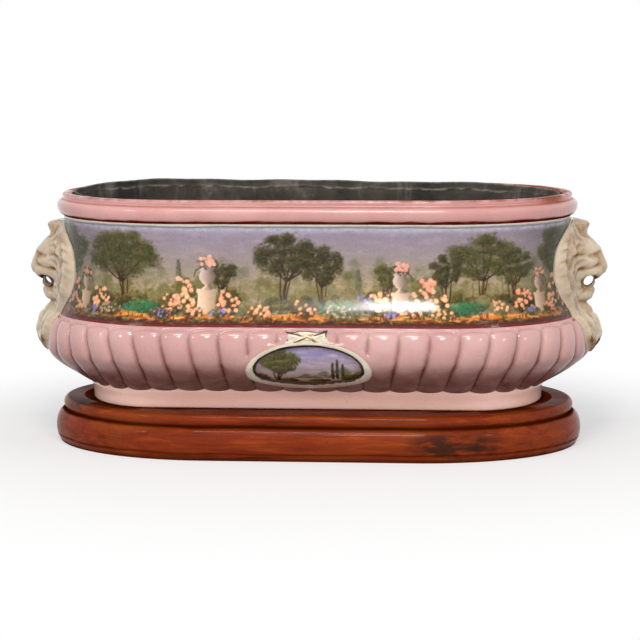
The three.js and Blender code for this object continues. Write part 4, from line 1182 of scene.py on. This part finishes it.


# Modelling of the masks: width, height and darkening of each stroke, where glaze pools in its groove, then
# its places, across and up
MASK_STROKES = [
    (1.5, -1.7, 0.5, (30, 112), (36, 105), (40, 98), (41.6, 91), (41, 82), (38.4, 71), (33, 60), (28, 51),
     (24.5, 42)),
    (1.1, -1.2, 0.5, (37, 107), (42, 105.5), (46, 103)),
    (1.1, -1.1, 0.4, (40, 99.5), (44, 98.8), (48, 97)),
    (1.1, -1.0, 0.4, (41.5, 90), (45, 88), (49, 87)),
    (1.1, -1.0, 0.4, (39.5, 77), (43, 74.5), (47, 74)),
    (1.1, -0.9, 0.4, (35, 64.5), (39, 61.5), (43, 61.5)),
    (1.5, -1.6, 0.8, (27.5, 109.5), (29.6, 105), (30.2, 101)),
    (1.3, -1.8, 0.8, (28.6, 94.5), (27, 98.6), (23.6, 101.2), (19.3, 101)),
    (1.0, 0.9, 0.0, (26, 96), (24.5, 98.3), (21.5, 98.6)),
    (1.3, -1.8, 0.9, (37.6, 81), (37, 86), (33.6, 90.8), (28.2, 92.6), (21.5, 92.4)),
    (1.2, 1.1, 0.0, (34, 79), (32.6, 85), (28, 88.8), (22, 89.6)),
    (1.2, -1.7, 0.8, (30.4, 77), (28.6, 82), (25.2, 85), (20.4, 86.4)),
    (1.1, 1.0, 0.0, (26.8, 76), (24.6, 80.4), (20.6, 82.4)),
    (1.3, -1.9, 1.0, (25.2, 71.5), (24.6, 75.5), (22, 78.2), (18.6, 78.8)),
    (1.3, -1.2, 0.4, (34.5, 72), (31, 63), (26.5, 54.5), (22.5, 47), (20.5, 40)),
    (1.2, -1.2, 0.4, (28, 69), (25, 61), (20.5, 53.5), (17, 47)),
    (1.2, -1.0, 0.4, (21.5, 110.5), (24, 105), (23, 102)),
    (1.3, -1.2, 0.5, (18.6, 118), (19.6, 111), (17.4, 106.5)),
    (1.6, -2.1, 1.0, (15.6, 90.4), (11.4, 92.4), (6.6, 93.4)),
    (1.4, -1.3, 0.6, (10.2, 91), (9.6, 86), (10.2, 81.8)),
    (1.4, -1.7, 0.7, (20.4, 79.6), (14.6, 78.9), (10.2, 81.4)),
    (1.1, -1.1, 0.6, (3.2, 74.4), (5.6, 75.4), (6.4, 78)),
    (1.3, -1.4, 0.6, (20, 61.6), (13, 59.6), (6.6, 59.8), (0, 60.4)),
    (1.0, -1.0, 0.5, (12.6, 58), (12.2, 53), (10, 49.6)),
    (1.0, -1.0, 0.5, (8.8, 57), (8.2, 52), (6.6, 49)),
    (0.9, -0.8, 0.4, (4.8, 57), (4.4, 52), (3.4, 49)),
    (1.6, -1.8, 0.9, (14, 48.2), (8, 46.8), (0, 46.2)),
    (1.4, -1.3, 0.5, (22.4, 39), (23, 31), (21.6, 23), (22.6, 15)),
    (1.2, -1.0, 0.4, (12, 43), (16.6, 37), (19.2, 30), (17.6, 21)),
    (1.1, -0.9, 0.4, (6.4, 42), (10, 35), (11.6, 27), (10, 18)),
    (1.4, -1.3, 0.7, (12.4, 119), (12.2, 114), (10.8, 109)),
    (1.6, -1.6, 0.8, (7.4, 118), (7.6, 113), (7.8, 108)),
    (1.3, -1.0, 0.5, (3.2, 119), (3.0, 113), (3.6, 108)),
    (1.3, -2.4, 2.2, (10.6, 69.6), (5.6, 67.6), (0, 66.4)),
]
# Swellings of the masks: across, up, their half widths and height
MASK_LUMPS = [
    (15.2, 86, 6.4, 3.8, 2.4), (11.5, 75, 5.6, 3.0, 1.4), (9, 53.4, 4.6, 3.6, 1.2),
    (14.6, 30.5, 3.0, 6.0, 1.3),
    (43.5, 101.5, 2.6, 2.0, 0.8), (45.6, 93, 2.6, 3.0, 0.8), (45, 81.5, 2.6, 4.0, 0.8),
    (7, 24, 4.0, 6.0, 0.9), (24, 104, 2.6, 2.6, 0.9), (32, 96.5, 3.0, 4.5, 1.2), (12.5, 98, 5.5, 4.0, 0.9),
    (16.5, 64, 4.0, 3.0, 0.9), (27, 34, 2.6, 5.0, 1.2),
]
MOUTH = (10.9, 66)
MOUTH_REACH = 257.4


def line_distance(x, y, points):
    """Distance from each place to a smooth line through points."""
    steps = np.r_[0, np.cumsum(np.hypot(*np.diff(np.array(points, float), axis=0).T))]
    at = np.linspace(0, steps[-1], 6 * len(points))
    px = smooth_between(at, steps, [q[0] for q in points])
    py = smooth_between(at, steps, [q[1] for q in points])
    best = np.full(x.shape, 1e9)
    for a, b, c, d in zip(px, py, px[1:], py[1:]):
        dx, dy = c - a, d - b
        t = np.clip(((x - a) * dx + (y - b) * dy) / (dx * dx + dy * dy + 1e-9), 0, 1)
        best = np.minimum(best, np.hypot(x - a - t * dx, y - b - t * dy))
    return best


def mask_relief(across, up_mm):
    """Height and darkening that the strokes and swellings add, with painted shade round the mouth and along
    the foot of the mask.
    """
    a = np.abs(across)
    height = 0.3 * noise(np.c_[across.ravel(), up_mm.ravel()], 9, 21).reshape(a.shape)
    stain = 0.22 + 0.3 * noise(np.c_[a.ravel(), up_mm.ravel()], 13, 22).reshape(a.shape)
    for wide, high, tint, *points in MASK_STROKES:
        near = np.exp(-(line_distance(a, up_mm, points) / wide) ** 2)
        height += 0.8 * high * near
        stain += 0.75 * tint * np.sqrt(near)
    for x, y, wide, tall, high in MASK_LUMPS:
        near = np.exp(-((a - x) / wide) ** 2 - ((up_mm - y) / tall) ** 2)
        height += high * near
        stain -= 0.5 * near
    # Painted shade round the mouth opening, and a raised lip round it
    ring = np.hypot(a - MOUTH[0], up_mm - MOUTH[1])
    stain += 1.7 * np.exp(-(np.clip(ring - 4.6, 0, None) / 1.3) ** 2)
    height += 0.9 * np.exp(-((ring - 7.4) / 1.8) ** 2)
    # Painted shade along the foot of the mask, under its overhang
    edge = 13.5 + 1.6 * np.sin(0.9 * a) + 1.2 * np.sin(0.37 * a + 1)
    stain += 0.9 * smoothstep(up_mm, edge + 2.5, edge - 3)
    return height, stain


def mask_lift(across, up, half):
    line = MASK_DEPTH * spline(mask_line, up)
    face = line * np.exp(-((across / (MASK_HALF * spline(face_width, up))) ** 2))
    place = (np.abs(across) / half - 0.64) / 0.36
    roll = 9 * np.minimum(1, spline(mask_width, up)) * np.sqrt(np.clip(1 - np.abs(place) ** 2.4, 0, 1))
    return np.maximum(2.0, np.cbrt(np.maximum(face, 0) ** 3 + roll ** 3))


def mouth_cutter(side, z):
    """A waisted oval plug across the muzzle."""
    around = 40
    turn = np.linspace(0, 2 * math.pi, around, endpoint=False)
    rows = []
    for y in np.linspace(-34, 34, 35):
        grow = 1 + 0.5 * min(1.6, (y / 15) ** 2) if side > 0 else 0.93
        x = side * MOUTH_REACH + 4.3 * grow * np.cos(turn) + 1.2 * side * np.sin(turn)
        rows.append(np.c_[x, np.full(around, y), z + 4.9 * grow * np.sin(turn)])
    points = np.array(rows)
    mesh = bpy.data.meshes.new("mouth_cutter")
    last = around * (len(rows) - 1)
    faces = [*ring_faces(len(rows), around, closed=False)[:, ::-1].tolist(), list(range(around)),
             list(range(last, last + around))[::-1]]
    mesh.from_pydata((points.reshape(-1, 3) / 1000).tolist(), [], faces)
    mesh.validate()
    # The walls of the cut mouth carry dark painted shade
    add_layer(mesh, "pooling_dirt_and_shade", np.full(len(mesh.vertices), 2.2))
    return bpy.data.objects.new("mouth_cutter", mesh)


def make_mask(side):
    drop = 0 if side > 0 else 2
    rows, columns = 231, 171
    up = np.repeat(np.linspace(0, 1, rows)[:, None], columns, 1)
    share = np.linspace(-1, 1, columns)[None, :]
    share = share * (0.8 + 0.2 * share ** 2) * np.ones((rows, 1))
    z = MASK_FOOT + MASK_HEIGHT * up - drop
    half = MASK_HALF * spline(mask_width, up) * (1.03 if side > 0 else 1.09)
    across = share * half
    wall = end_wall(across, z) + 0.5 - 0.35 * smoothstep(np.abs(share), 0.9, 1)
    height, stain = mask_relief(across, MASK_HEIGHT * up)
    calm = smoothstep(np.abs(share), 1, 0.9)
    lift = mask_lift(across, up, half)
    line = MASK_DEPTH * spline(mask_line, up)
    lift = np.maximum(1.0, np.minimum(lift + height * calm, line + 0.2 + 0.6 * np.abs(across)))
    lift = 0.2 + (lift - 0.3) * np.sqrt(np.clip(1 - np.clip((np.abs(share) - 0.9) / 0.1, 0, 1) ** 2, 0, 1))
    low = smoothstep(z, FRIEZE_Z + 5, FRIEZE_Z - 6)
    lift = lift - 2.6 * low * smoothstep(np.abs(share), 0.88, 1)
    verts, faces = slab(np.stack([wall + lift, across, z], -1), np.stack([wall - 3 * low, across, z], -1))
    if side < 0:
        verts[:, :2] *= -1
    stain = np.clip(stain * calm, 0, 2.2).ravel()
    name = "right" if side > 0 else "left"
    piece = make_piece(f"mask_{name}", verts, faces, "planter", [f"lion_mask_{name}"], cream,
                       "pooling_dirt_and_shade", np.r_[stain, stain])
    cutter = mouth_cutter(side, MASK_FOOT + MOUTH[1] - drop)
    bpy.context.scene.collection.objects.link(cutter)
    cut = piece.modifiers.new("mouth", "BOOLEAN")
    cut.operation = "DIFFERENCE"
    cut.solver = "EXACT"
    cut.object = cutter
    bpy.context.view_layer.update()
    pierced = bpy.data.meshes.new_from_object(piece.evaluated_get(bpy.context.evaluated_depsgraph_get()))
    piece.modifiers.clear()
    piece.data = pierced
    bpy.data.objects.remove(cutter)


# Medallions

OVAL_HALF = 57.5
OVAL_HIGH = 28.5
BORDER_SIDE = 8.2
BORDER_TOP = 4.2
BORDER_FOOT = 10.6
oval_turn = np.linspace(0, 2 * math.pi, OVAL_STEPS, endpoint=False)


def on_bowl(x, v, lift):
    half, z, out, up = cad_crest.at(np.asarray(v, float) - MEDALLION_DROP)
    return np.stack([x + 0 * z, -(half - END_REACH + out * (0.3 + lift)), z + up * (0.3 + lift)], -1)


def oval_place(share, inset=0.0, scale=1.0):
    """Places on an oval of the frame: share 0 at its outer edge, 1 at its inner edge, scaled inside that."""
    wide = OVAL_HALF - share * BORDER_SIDE - inset
    high = OVAL_HIGH - share * (BORDER_TOP + BORDER_FOOT) / 2 - inset
    v = share * (BORDER_FOOT - BORDER_TOP) / 2 + scale * high * np.sin(oval_turn)
    return scale * wide * np.cos(oval_turn), v


def place_medallion(verts, side):
    verts = verts.copy()
    if side == "rear":
        verts[:, :2] *= -1
    verts[:, 0] += MEDALLION_ASIDE if side == "front" else -MEDALLION_ASIDE
    return verts


def small_view(seed):
    """A lake with a tall tree on the left, hills and cypresses on the right, and dark banks."""
    width = 104
    canvas = Canvas(width, 48, 0.4, seed)
    draw = canvas.draw
    sky = [(120, 112, 110), (168, 158, 158), (176, 164, 164), (160, 154, 168), (134, 134, 172),
           (120, 122, 168)]
    canvas.wash(canvas.v[:, None] + 1.5 * np.sin(canvas.u[None, :] * 0.06), [0, 14, 20, 28, 38, 48], sky)
    for _ in range(160):
        tint = np.array([196, 186, 190]) if canvas.rng.random() < 0.5 else np.array([124, 124, 158])
        canvas.dab(draw(0, width), draw(20, 47), draw(4, 12), draw(0.8, 2), tint, 0.2, draw(-0.1, 0.1), 1.0)
    for x, top, wide in ((66, 25, 16), (84, 28, 15), (98, 24, 12), (50, 21.5, 12)):
        for _ in range(60):
            t = draw(0, 1)
            canvas.mark(x + draw(-1, 1) * wide * (1 - t), 15 + (top - 15) * t, (2, 5), (0.8, 1.6),
                        (GREY_GREEN, 0.2, 0.7), 0.4, soft=1.0)
    for _ in range(90):
        canvas.dab(draw(34, 92), draw(11, 15.5), draw(2, 8), 0.35, np.array([186, 180, 184]), 0.4)
    for x, top in ((74, 31), (78, 34), (83, 30)):
        cypress(canvas, x, 14, top, 3.2, DEEP)
    for x, y, w, h in ((90, 15, 9, 6), (99, 17, 7, 7), (62, 11, 9, 3), (8, 14, 9, 7), (34, 11, 9, 4)):
        bush(canvas, x, y, w, h, OLIVE, 110)
    tree(canvas, 24, 10, 45, 36, OLIVE, 2, 1.0)
    for _ in range(420):
        x = draw(0, width)
        bank = 6.5 + 3.5 * ((x - 50) / 50) ** 2
        canvas.mark(x, draw(0, bank), (2, 6), (0.6, 1.4), (BROWN, 0, 0.35), 0.75, 0.15)
    for _ in range(60):
        canvas.dab(draw(20, 96), draw(6, 9.5), draw(1.5, 4.5), 0.4, canvas.pick(BROWN, 0.6, 1), 0.5)
    return canvas


def make_border(side, seed):
    """The raised oval frame with its scalloped edge, one ring after another from outside in."""
    section = smooth_between(np.linspace(0, 1, 30), [0, 0.04, 0.12, 0.3, 0.5, 0.7, 0.86, 0.95, 1],
                             [-0.1, 0.5, 0.8, 0.98, 1, 0.93, 0.78, 0.6, 0.35])
    around = np.c_[np.cos(oval_turn), np.sin(oval_turn)]
    uneven = noise(around, 0.7, seed)
    fine = noise(around, 0.16, seed + 1)
    low = smoothstep(np.sin(oval_turn), -0.25, -0.9)
    rings = []
    colours = []
    for share, high in zip([0, *np.linspace(0, 1, 30), 1], [-0.2, *section, -0.2]):
        x, v = oval_place(share)
        knob = np.exp(-((x - 0.5) / 2.6) ** 2 - ((v + 24) / 1.8) ** 2)
        scallop = 0.35 * np.cos(oval_turn * 34) * smoothstep(share, 0.4, 0.0)
        rings.append(on_bowl(x, v, 2.85 * high + 0.7 * knob + 0.1 * uneven - scallop * 0.3))
        rgb = np.array([208.0, 197, 180]) + 7 * uneven[:, None] + 5 * fine[:, None]
        shade = (0.25 + 0.5 * low) * smoothstep(share, 0.34, 0.02) + 0.35 * low
        rgb += (np.array([150, 100, 84]) - rgb) * np.clip(shade, 0, 1)[:, None]
        inner = 0.87 - 0.08 * smoothstep(np.sin(oval_turn), 0.7, 0.9) - 0.05 * uneven - 0.04 * fine
        rgb += (np.array([46, 28, 20]) - rgb) * smoothstep(share, inner - 0.05, inner + 0.02)[:, None]
        colours.append(rgb)
    make_piece(f"medallion_border_{side}", place_medallion(np.concatenate(rings), side),
               ring_faces(len(rings), OVAL_STEPS), "planter", [f"medallion_frame_{side}"],
               ivory, "paint", np.concatenate(colours))


def make_view(side, seed):
    """The domed painted oval, with a dark edge and a pale line inside it."""
    canvas = small_view(seed)
    rings = []
    colours = []
    for lift, scale in [(0, 0.5), (0, 1), *((1 + 1.4 * (1 - k * k), k) for k in np.linspace(1, 0.02, 64))]:
        x, v = oval_place(1, 0.1, scale)
        rings.append(on_bowl(x, v, lift))
        rgb = enriched(canvas.sample(x + 52, v + 22) * np.array([0.98, 0.92, 0.88]))
        shade = smoothstep(scale, 0.955, 0.985) + 0.25 * smoothstep(scale, 0.8, 0.97)
        rgb += (np.array([44, 27, 19]) - rgb) * np.clip(shade, 0, 1)
        pale = math.exp(-((scale - 0.945) / 0.012) ** 2) * smoothstep(-v - 0.25 * np.abs(x + 22), 2, 9)
        rgb += (np.array([196, 184, 172]) - rgb) * 0.7 * pale[:, None]
        colours.append(rgb)
    ends = np.arange(OVAL_STEPS)[::-1], (len(rings) - 1) * OVAL_STEPS + np.arange(OVAL_STEPS)
    make_piece(f"medallion_view_{side}", place_medallion(np.concatenate(rings), side),
               [*ring_faces(len(rings), OVAL_STEPS, closed=False), *ends], "planter",
               [f"medallion_panel_{side}"], paint_material, "paint", np.concatenate(colours))


DARK = np.array([66, 42, 26.0])
GOLD = np.array([176, 138, 62.0])
PALE = np.array([238, 232, 216.0])
RIBBON_LEFT = 24
RIBBON_FOOT = 26
# Brush lines of the ribbon bow: colour, widths at start and end, height, strength, then places
RIBBON = [
    (PALE, 3.6, 3.0, 0.9, 0.4, (-17, 35), (-11, 33), (-6, 31.4), (0, 31), (6, 32.6), (12, 34.8)),
    (GOLD, 2.6, 1.6, 0.9, 0.7, (-12, 28), (-7, 30), (-1, 32.4), (4, 34)),
    (GOLD, 2.6, 1.8, 0.9, 0.7, (-9, 34.6), (-3, 32.8), (3, 30.6), (8, 27.6)),
    (PALE, 0.6, 0.5, 0.0, 0.8, (-12, 28.6), (-7, 30.8), (-1, 33.2)),
    (PALE, 0.6, 0.5, 0.0, 0.8, (-8, 35.2), (-3, 33.6), (3, 31.4)),
    (DARK, 1.3, 0.7, 0.0, 0.85, (-18, 36.4), (-15, 35.2), (-11.5, 34.6), (-7, 33)),
    (DARK, 1.5, 1.2, 0.0, 0.85, (-21.6, 38.6), (-19, 37), (-17, 36.4), (-14.3, 37), (-11, 37), (-9, 38.2),
     (-5, 37.6), (-0.7, 38), (3, 37.2), (7.4, 36.8), (11, 37.4), (14, 38.4), (17, 38.8)),
    (DARK, 1.3, 0.8, 0.0, 0.85, (16.2, 38.2), (12.5, 36), (8, 34.2), (5.5, 33.6)),
    (DARK, 0.9, 0.6, 0.0, 0.85, (16.4, 38.4), (15.4, 35.4), (16, 33)),
    (DARK, 0.5, 0.4, 0.0, 0.6, (-12.4, 27.4), (-7, 29.4), (-3, 31)),
    (DARK, 0.5, 0.4, 0.0, 0.6, (3.4, 29.6), (7.4, 26.8)),
    (DARK, 1.3, 0.8, 0.0, 0.85, (-23, 29.4), (-20.4, 30), (-18.6, 29.6)),
]


def crest_relief():
    """Colours and heights of the ribbon bow."""
    canvas = Canvas(48, 15, 0.3, 8)
    heights = Canvas(48, 15, 0.3)
    draw = canvas.draw
    canvas.rgb[:] = (218, 208, 188)
    for _ in range(120):
        u, v, long, short = draw(0, 48), draw(0, 15), draw(1, 4), draw(0.4, 1.5)
        light = canvas.rng.random() < 0.5
        canvas.dab(u, v, long, short, np.array([232, 224, 208] if light else [190, 176, 152]), 0.35)
    for colour, start, end, high, strength, *points in RIBBON:
        points = [(x + RIBBON_LEFT, v - RIBBON_FOOT) for x, v in points]
        canvas.stroke(points, start, end, colour, strength)
        if high:
            heights.stroke(points, start + 0.8, end + 0.8, np.full(3, high), 0.6)
    heights.dab(24, 5.6, 3.2, 2.6, np.full(3, 1.6), 0.7)
    return canvas, heights


def make_crest(side):
    canvas, heights = crest_relief()
    rows, columns = 44, 120
    up = np.linspace(0, 1, rows)[:, None] * np.ones((1, columns))
    share = np.linspace(-1, 1, columns)[None, :] * np.ones((rows, 1))
    left, right = (smooth_between(up.ravel(), [0, 0.5, 0.8, 1], reach).reshape(up.shape)
                   for reach in ([-22, -18.8, -18.6, -21.4], [19.5, 16.6, 15.8, 17]))
    x = left + (right - left) * (0.5 + 0.5 * share)
    foot = (OVAL_HIGH - 1.2) * np.sqrt(1 - (x / OVAL_HALF) ** 2)
    top = smooth_between(x.ravel(), [-22, -19.5, -17.5, -14.3, -11.6, -9.8, -5, 0, 3.5, 7.4, 11, 14, 17],
                         [39.4, 38.2, 37.2, 37.6, 37.6, 38.8, 38.4, 38.8, 38, 37.4, 38, 39, 39.6])
    v = foot + (top.reshape(x.shape) - foot) * up
    edge = np.maximum(np.abs(share) ** 6, smoothstep(up, 0.9, 1))
    relief = heights.sample(x + RIBBON_LEFT, v - RIBBON_FOOT)[..., 0]
    lift = 0.5 + (1.5 + relief) * np.sqrt(np.clip(1 - edge, 0, 1))
    verts, faces = slab(on_bowl(x, v, lift), on_bowl(x, v, 0 * x - 0.2))
    rgb = canvas.sample(x + RIBBON_LEFT, v - RIBBON_FOOT).reshape(-1, 3)
    make_piece(f"ribbon_bow_{side}", place_medallion(verts, side), faces, "planter", [f"ribbon_crest_{side}"],
               ivory, "paint", np.r_[rgb, rgb])


# Liner

LINER_NECK = NECK_HALF - WALL - 2
LINER_WAIST = min(LINER_NECK, WAIST_HALF - WALL - 9.5)
LINER_FOOT = min(LINER_WAIST, BOWL_FOOT_HALF - BOWL_FOOT_WALL - 4)
FOLD_DROP = 11


def liner_half(z):
    return np.interp(z, [BOWL_Z, WAIST_Z, TOP_Z], [LINER_FOOT, LINER_WAIST, LINER_NECK])


def liner_edge(st):
    x = 0.5 * (st[0] + st[1])
    y = st[2]
    wave = 0.45 * np.sin(9 * x + 2 * y) + 0.3 * np.sin(23 * x + 5 * y + 1)
    return TOP_Z - 0.2 + 2.4 * y - 2.8 * x * (0.5 + 0.5 * y) + wave


def make_liner():
    st = stations(80, 150)
    edge = liner_edge(st)
    rows = []
    fields = []
    flat = np.c_[st[0] * 110 + st[1] * 120, st[2] * 100]
    wobble = noise(flat, 40, 11)
    ripple = noise(flat, 70, 12) + 0.5 * noise(flat, 18, 13)
    nx, ny = plan_normals((STRAIGHT, LINER_NECK - STRAIGHT, LINER_NECK - END_REACH), st)
    heights = np.r_[0, 0.2, 0.4, 0.6, 0.7, 0.78, 0.84, np.linspace(0.87, 1, 40)]
    for inside in (0, 1):
        for t in heights if not inside else heights[::-1]:
            z = BOWL_Z + 1 + (edge - BOWL_Z - 1) * t
            crease = np.clip((z - WAIST_Z) / (edge - FOLD_DROP - WAIST_Z), 0, 1)
            over = np.clip((z - (edge - FOLD_DROP)) / FOLD_DROP, 0, 1)
            half = liner_half(z) - 0.8 * crease * (1 - over)
            x = st[0] * STRAIGHT + st[1] * (half - STRAIGHT - inside)
            y = st[2] * (half - END_REACH - inside)
            fold = np.exp(-((edge - z - 6.4 - 1.3 * ripple) / 0.9) ** 2)
            dent = 0.35 * wobble * smoothstep(t, 0.3, 0.8) + 0.35 * fold * inside
            rows.append(np.c_[x - nx * (0.4 + dent), y - ny * (0.4 + dent), z])
            crust = 0.6 * fold * np.clip(0.25 + 1.2 * ripple, 0, 1) + 0.9 * np.exp(-((edge - z) / 0.9) ** 2)
            fields.append(np.clip(crust, 0, 1) * inside + 0.3 * (1 - inside))
    make_piece("liner_sheet", rows, ring_faces(len(rows), len(edge)), "liner", ["liner_wall"], zinc,
               "crust", fields, sharp=50)


# Stand

def make_board(name, node, profile, dark):
    """A stand board, with lines of painted shade at levels given with their width and strength."""
    points = ring_points(profile, lambda half: outline(half, STAND_STRAIGHT, STAND_REACH), stations(110, 80))
    verts, faces = capped(points)
    x, y, z = verts.T
    ripple = noise(verts, 60, 19)
    painted_shade = sum(np.exp(-((z + 0.3 * ripple - level) / wide) ** 2) * strength for level, wide, strength in dark)
    if name == "upper_board":
        # Painted shade on the top face and round the planter's foot, where the bowl overhangs and the foot
        # stands
        print_end = FOOT_HALF - FOOT_STRAIGHT
        away = np.maximum(np.abs(x) - FOOT_STRAIGHT, 0) ** 2 / print_end ** 2
        away = away + (y / (FOOT_HALF - END_REACH)) ** 2
        painted_shade = painted_shade + (z > FOOT_Z - 0.2) * smoothstep(away, 1.12, 1.0)
        painted_shade = painted_shade + 0.4 * smoothstep(z, FOOT_Z - 1.2, FOOT_Z)
    make_piece(name, verts, faces, "stand", [node], walnut, "painted_shade", np.clip(painted_shade, 0, 1), sharp=50)


def make_stand():
    make_board("upper_board", "upper_plinth", np.r_[
        moved(UPPER_BOARD_HALF, LOWER_BOARD, [(-2.6, 0.05), (-2.9, 0.6), (-1.8, 1.5), (-0.5, 3.4)]),
        arc(UPPER_BOARD_HALF - 5.6, FOOT_Z - 5.6, 5.6, -6, 90, 14),
        [[225, FOOT_Z], [216, FOOT_Z], [208, FOOT_Z], [150, FOOT_Z]],
    ], [(LOWER_BOARD, 1.3, 1.0)])
    turn = np.radians(np.linspace(-32, 90, 28))
    make_board("lower_board", "lower_plinth", np.r_[
        moved(LOWER_BOARD_HALF, 0, [(-4.1, 0), (-3.5, 0.5), (-1.7, 4.8), (-1.4, 5.6), (-1.4, 7)]),
        np.c_[LOWER_BOARD_HALF - 8.3 + 8.3 * np.cos(turn), 14 + np.sin(turn) * (LOWER_BOARD - 14)],
        [[220, LOWER_BOARD], [140, LOWER_BOARD]],
    ], [(LOWER_BOARD + 0.4, 1.0, 1.0), (7.2, 0.7, 0.8), (0, 1.6, 0.6)])


make_stand()
make_foot()
make_bowl()
make_frieze()
make_rim()
make_mask(1)
make_mask(-1)
for side, seed in (("front", 61), ("rear", 67)):
    make_border(side, seed)
    make_view(side, seed)
    make_crest(side)
make_liner()


steel = screw_steel()
nodes = frame["nodes"]
for i in range(1, 5):
    nodes[f"plinth_screw_{i}"].data.materials[0] = steel
for name in ("liner_floor", "liner_seam"):
    nodes[name].data.materials[0] = zinc


# Floor, lights and camera

def add_floor():
    """White floor that keeps the object's shadow and passes into the white behind it."""
    n = new_material("floor_white")
    fade = n.ramp(n.vector("LENGTH", n.place), (0.27, 0), (0.52, 1))
    seen = n.seen()
    n.set(Base_Color=n.mix(seen, (0.34, 0.33, 0.32), (0.92, 0.92, 0.92)), Roughness=0.9)
    shown = n.times(seen, n.math("ADD", 0.45, n.times(fade, 0.55)))
    n.show(shown, n.shader, n.node("Emission"))
    mesh = bpy.data.meshes.new("floor")
    mesh.from_pydata([(-9, -9, 0), (9, -9, 0), (9, 9, 0), (-9, 9, 0)], [], [(0, 1, 2, 3)])
    mesh.materials.append(n.owner)
    floor = bpy.data.objects.new("floor", mesh)
    bpy.context.scene.collection.objects.link(floor)


def add_world():
    """White where the camera looks, and a faint cool light on the object."""
    world = bpy.data.worlds.new("studio")
    bpy.context.scene.world = world
    n = Nodes(world, "OutputWorld")
    light = n.node("Background", Color=(0.95, 0.97, 1), Strength=0.3)
    n.show(n.seen(), light, n.node("Background", Color=(1, 1, 1)))


def add_light(name, place, height, size, power, colour, mirrored):
    """A lamp that looks at the middle of the object at a height."""
    data = bpy.data.lights.new(name, "AREA")
    data.shape = "RECTANGLE"
    data.size, data.size_y = size
    data.energy = power
    data.color = colour
    lamp = bpy.data.objects.new(name, data)
    bpy.context.scene.collection.objects.link(lamp)
    lamp.location = place
    lamp.visible_glossy = mirrored
    way = Vector((0, 0, height)) - Vector(place)
    lamp.rotation_euler = way.to_track_quat("-Z", "Y").to_euler()
    return lamp


def add_camera():
    yaw, pitch, roll = math.radians(4.70), math.radians(8.32), math.radians(-0.29)
    back = Vector((math.sin(yaw) * math.cos(pitch), -math.cos(yaw) * math.cos(pitch), math.sin(pitch)))
    data = bpy.data.cameras.new("camera")
    data.sensor_width = 36
    data.lens = 117.84
    data.shift_x = 0.00578
    data.shift_y = -0.01016
    camera = bpy.data.objects.new("camera", data)
    bpy.context.scene.collection.objects.link(camera)
    place = Matrix.Translation(Vector((0, 0, 0.12)) + back * 2.0)
    look = (-back).to_track_quat("-Z", "Y").to_matrix().to_4x4()
    camera.matrix_world = place @ look @ Matrix.Rotation(roll, 4, "Z")
    bpy.context.scene.camera = camera


WHITE = (1, 1, 1)
WARM = (1, 0.98, 0.95)
add_floor()
add_world()
for lamp in (
    ("ceiling", (-0.12, -0.95, 1.85), 0.12, (0.7, 0.2), 8, WARM, True),
    ("window", (0.03, -1.42, 1.58), 0.14, (0.34, 0.2), 6, WARM, True),
    ("front", (0.1, -2.35, 0.82), 0.1, (3.4, 1.2), 39, (1, 0.97, 0.94), False),
    ("left", (-1.7, -0.6, 1.0), 0.1, (1.2, 1.2), 4.5, WHITE, False),
    ("right", (1.7, -0.5, 1.0), 0.1, (1.2, 1.2), 6.5, WHITE, False),
    ("left_window", (-1.35, -1.1, 1.3), 0.14, (0.16, 0.12), 1.6, WARM, True),
    ("right_window", (1.35, -1.2, 1.3), 0.14, (0.12, 0.12), 1.2, WARM, True),
):
    add_light(*lamp)
glint = add_light("glint", (0.02, -1.75, 0.46), 0.14, (0.12, 0.22), 8, WHITE, True)
painted_parts = bpy.data.collections.new("painted_parts")
for side in ("front", "rear"):
    painted_parts.objects.link(bpy.data.objects[f"painted_frieze_{side}"])
glint.light_linking.receiver_collection = painted_parts
add_camera()
bpy.context.scene.view_settings.view_transform = "Standard"

import json
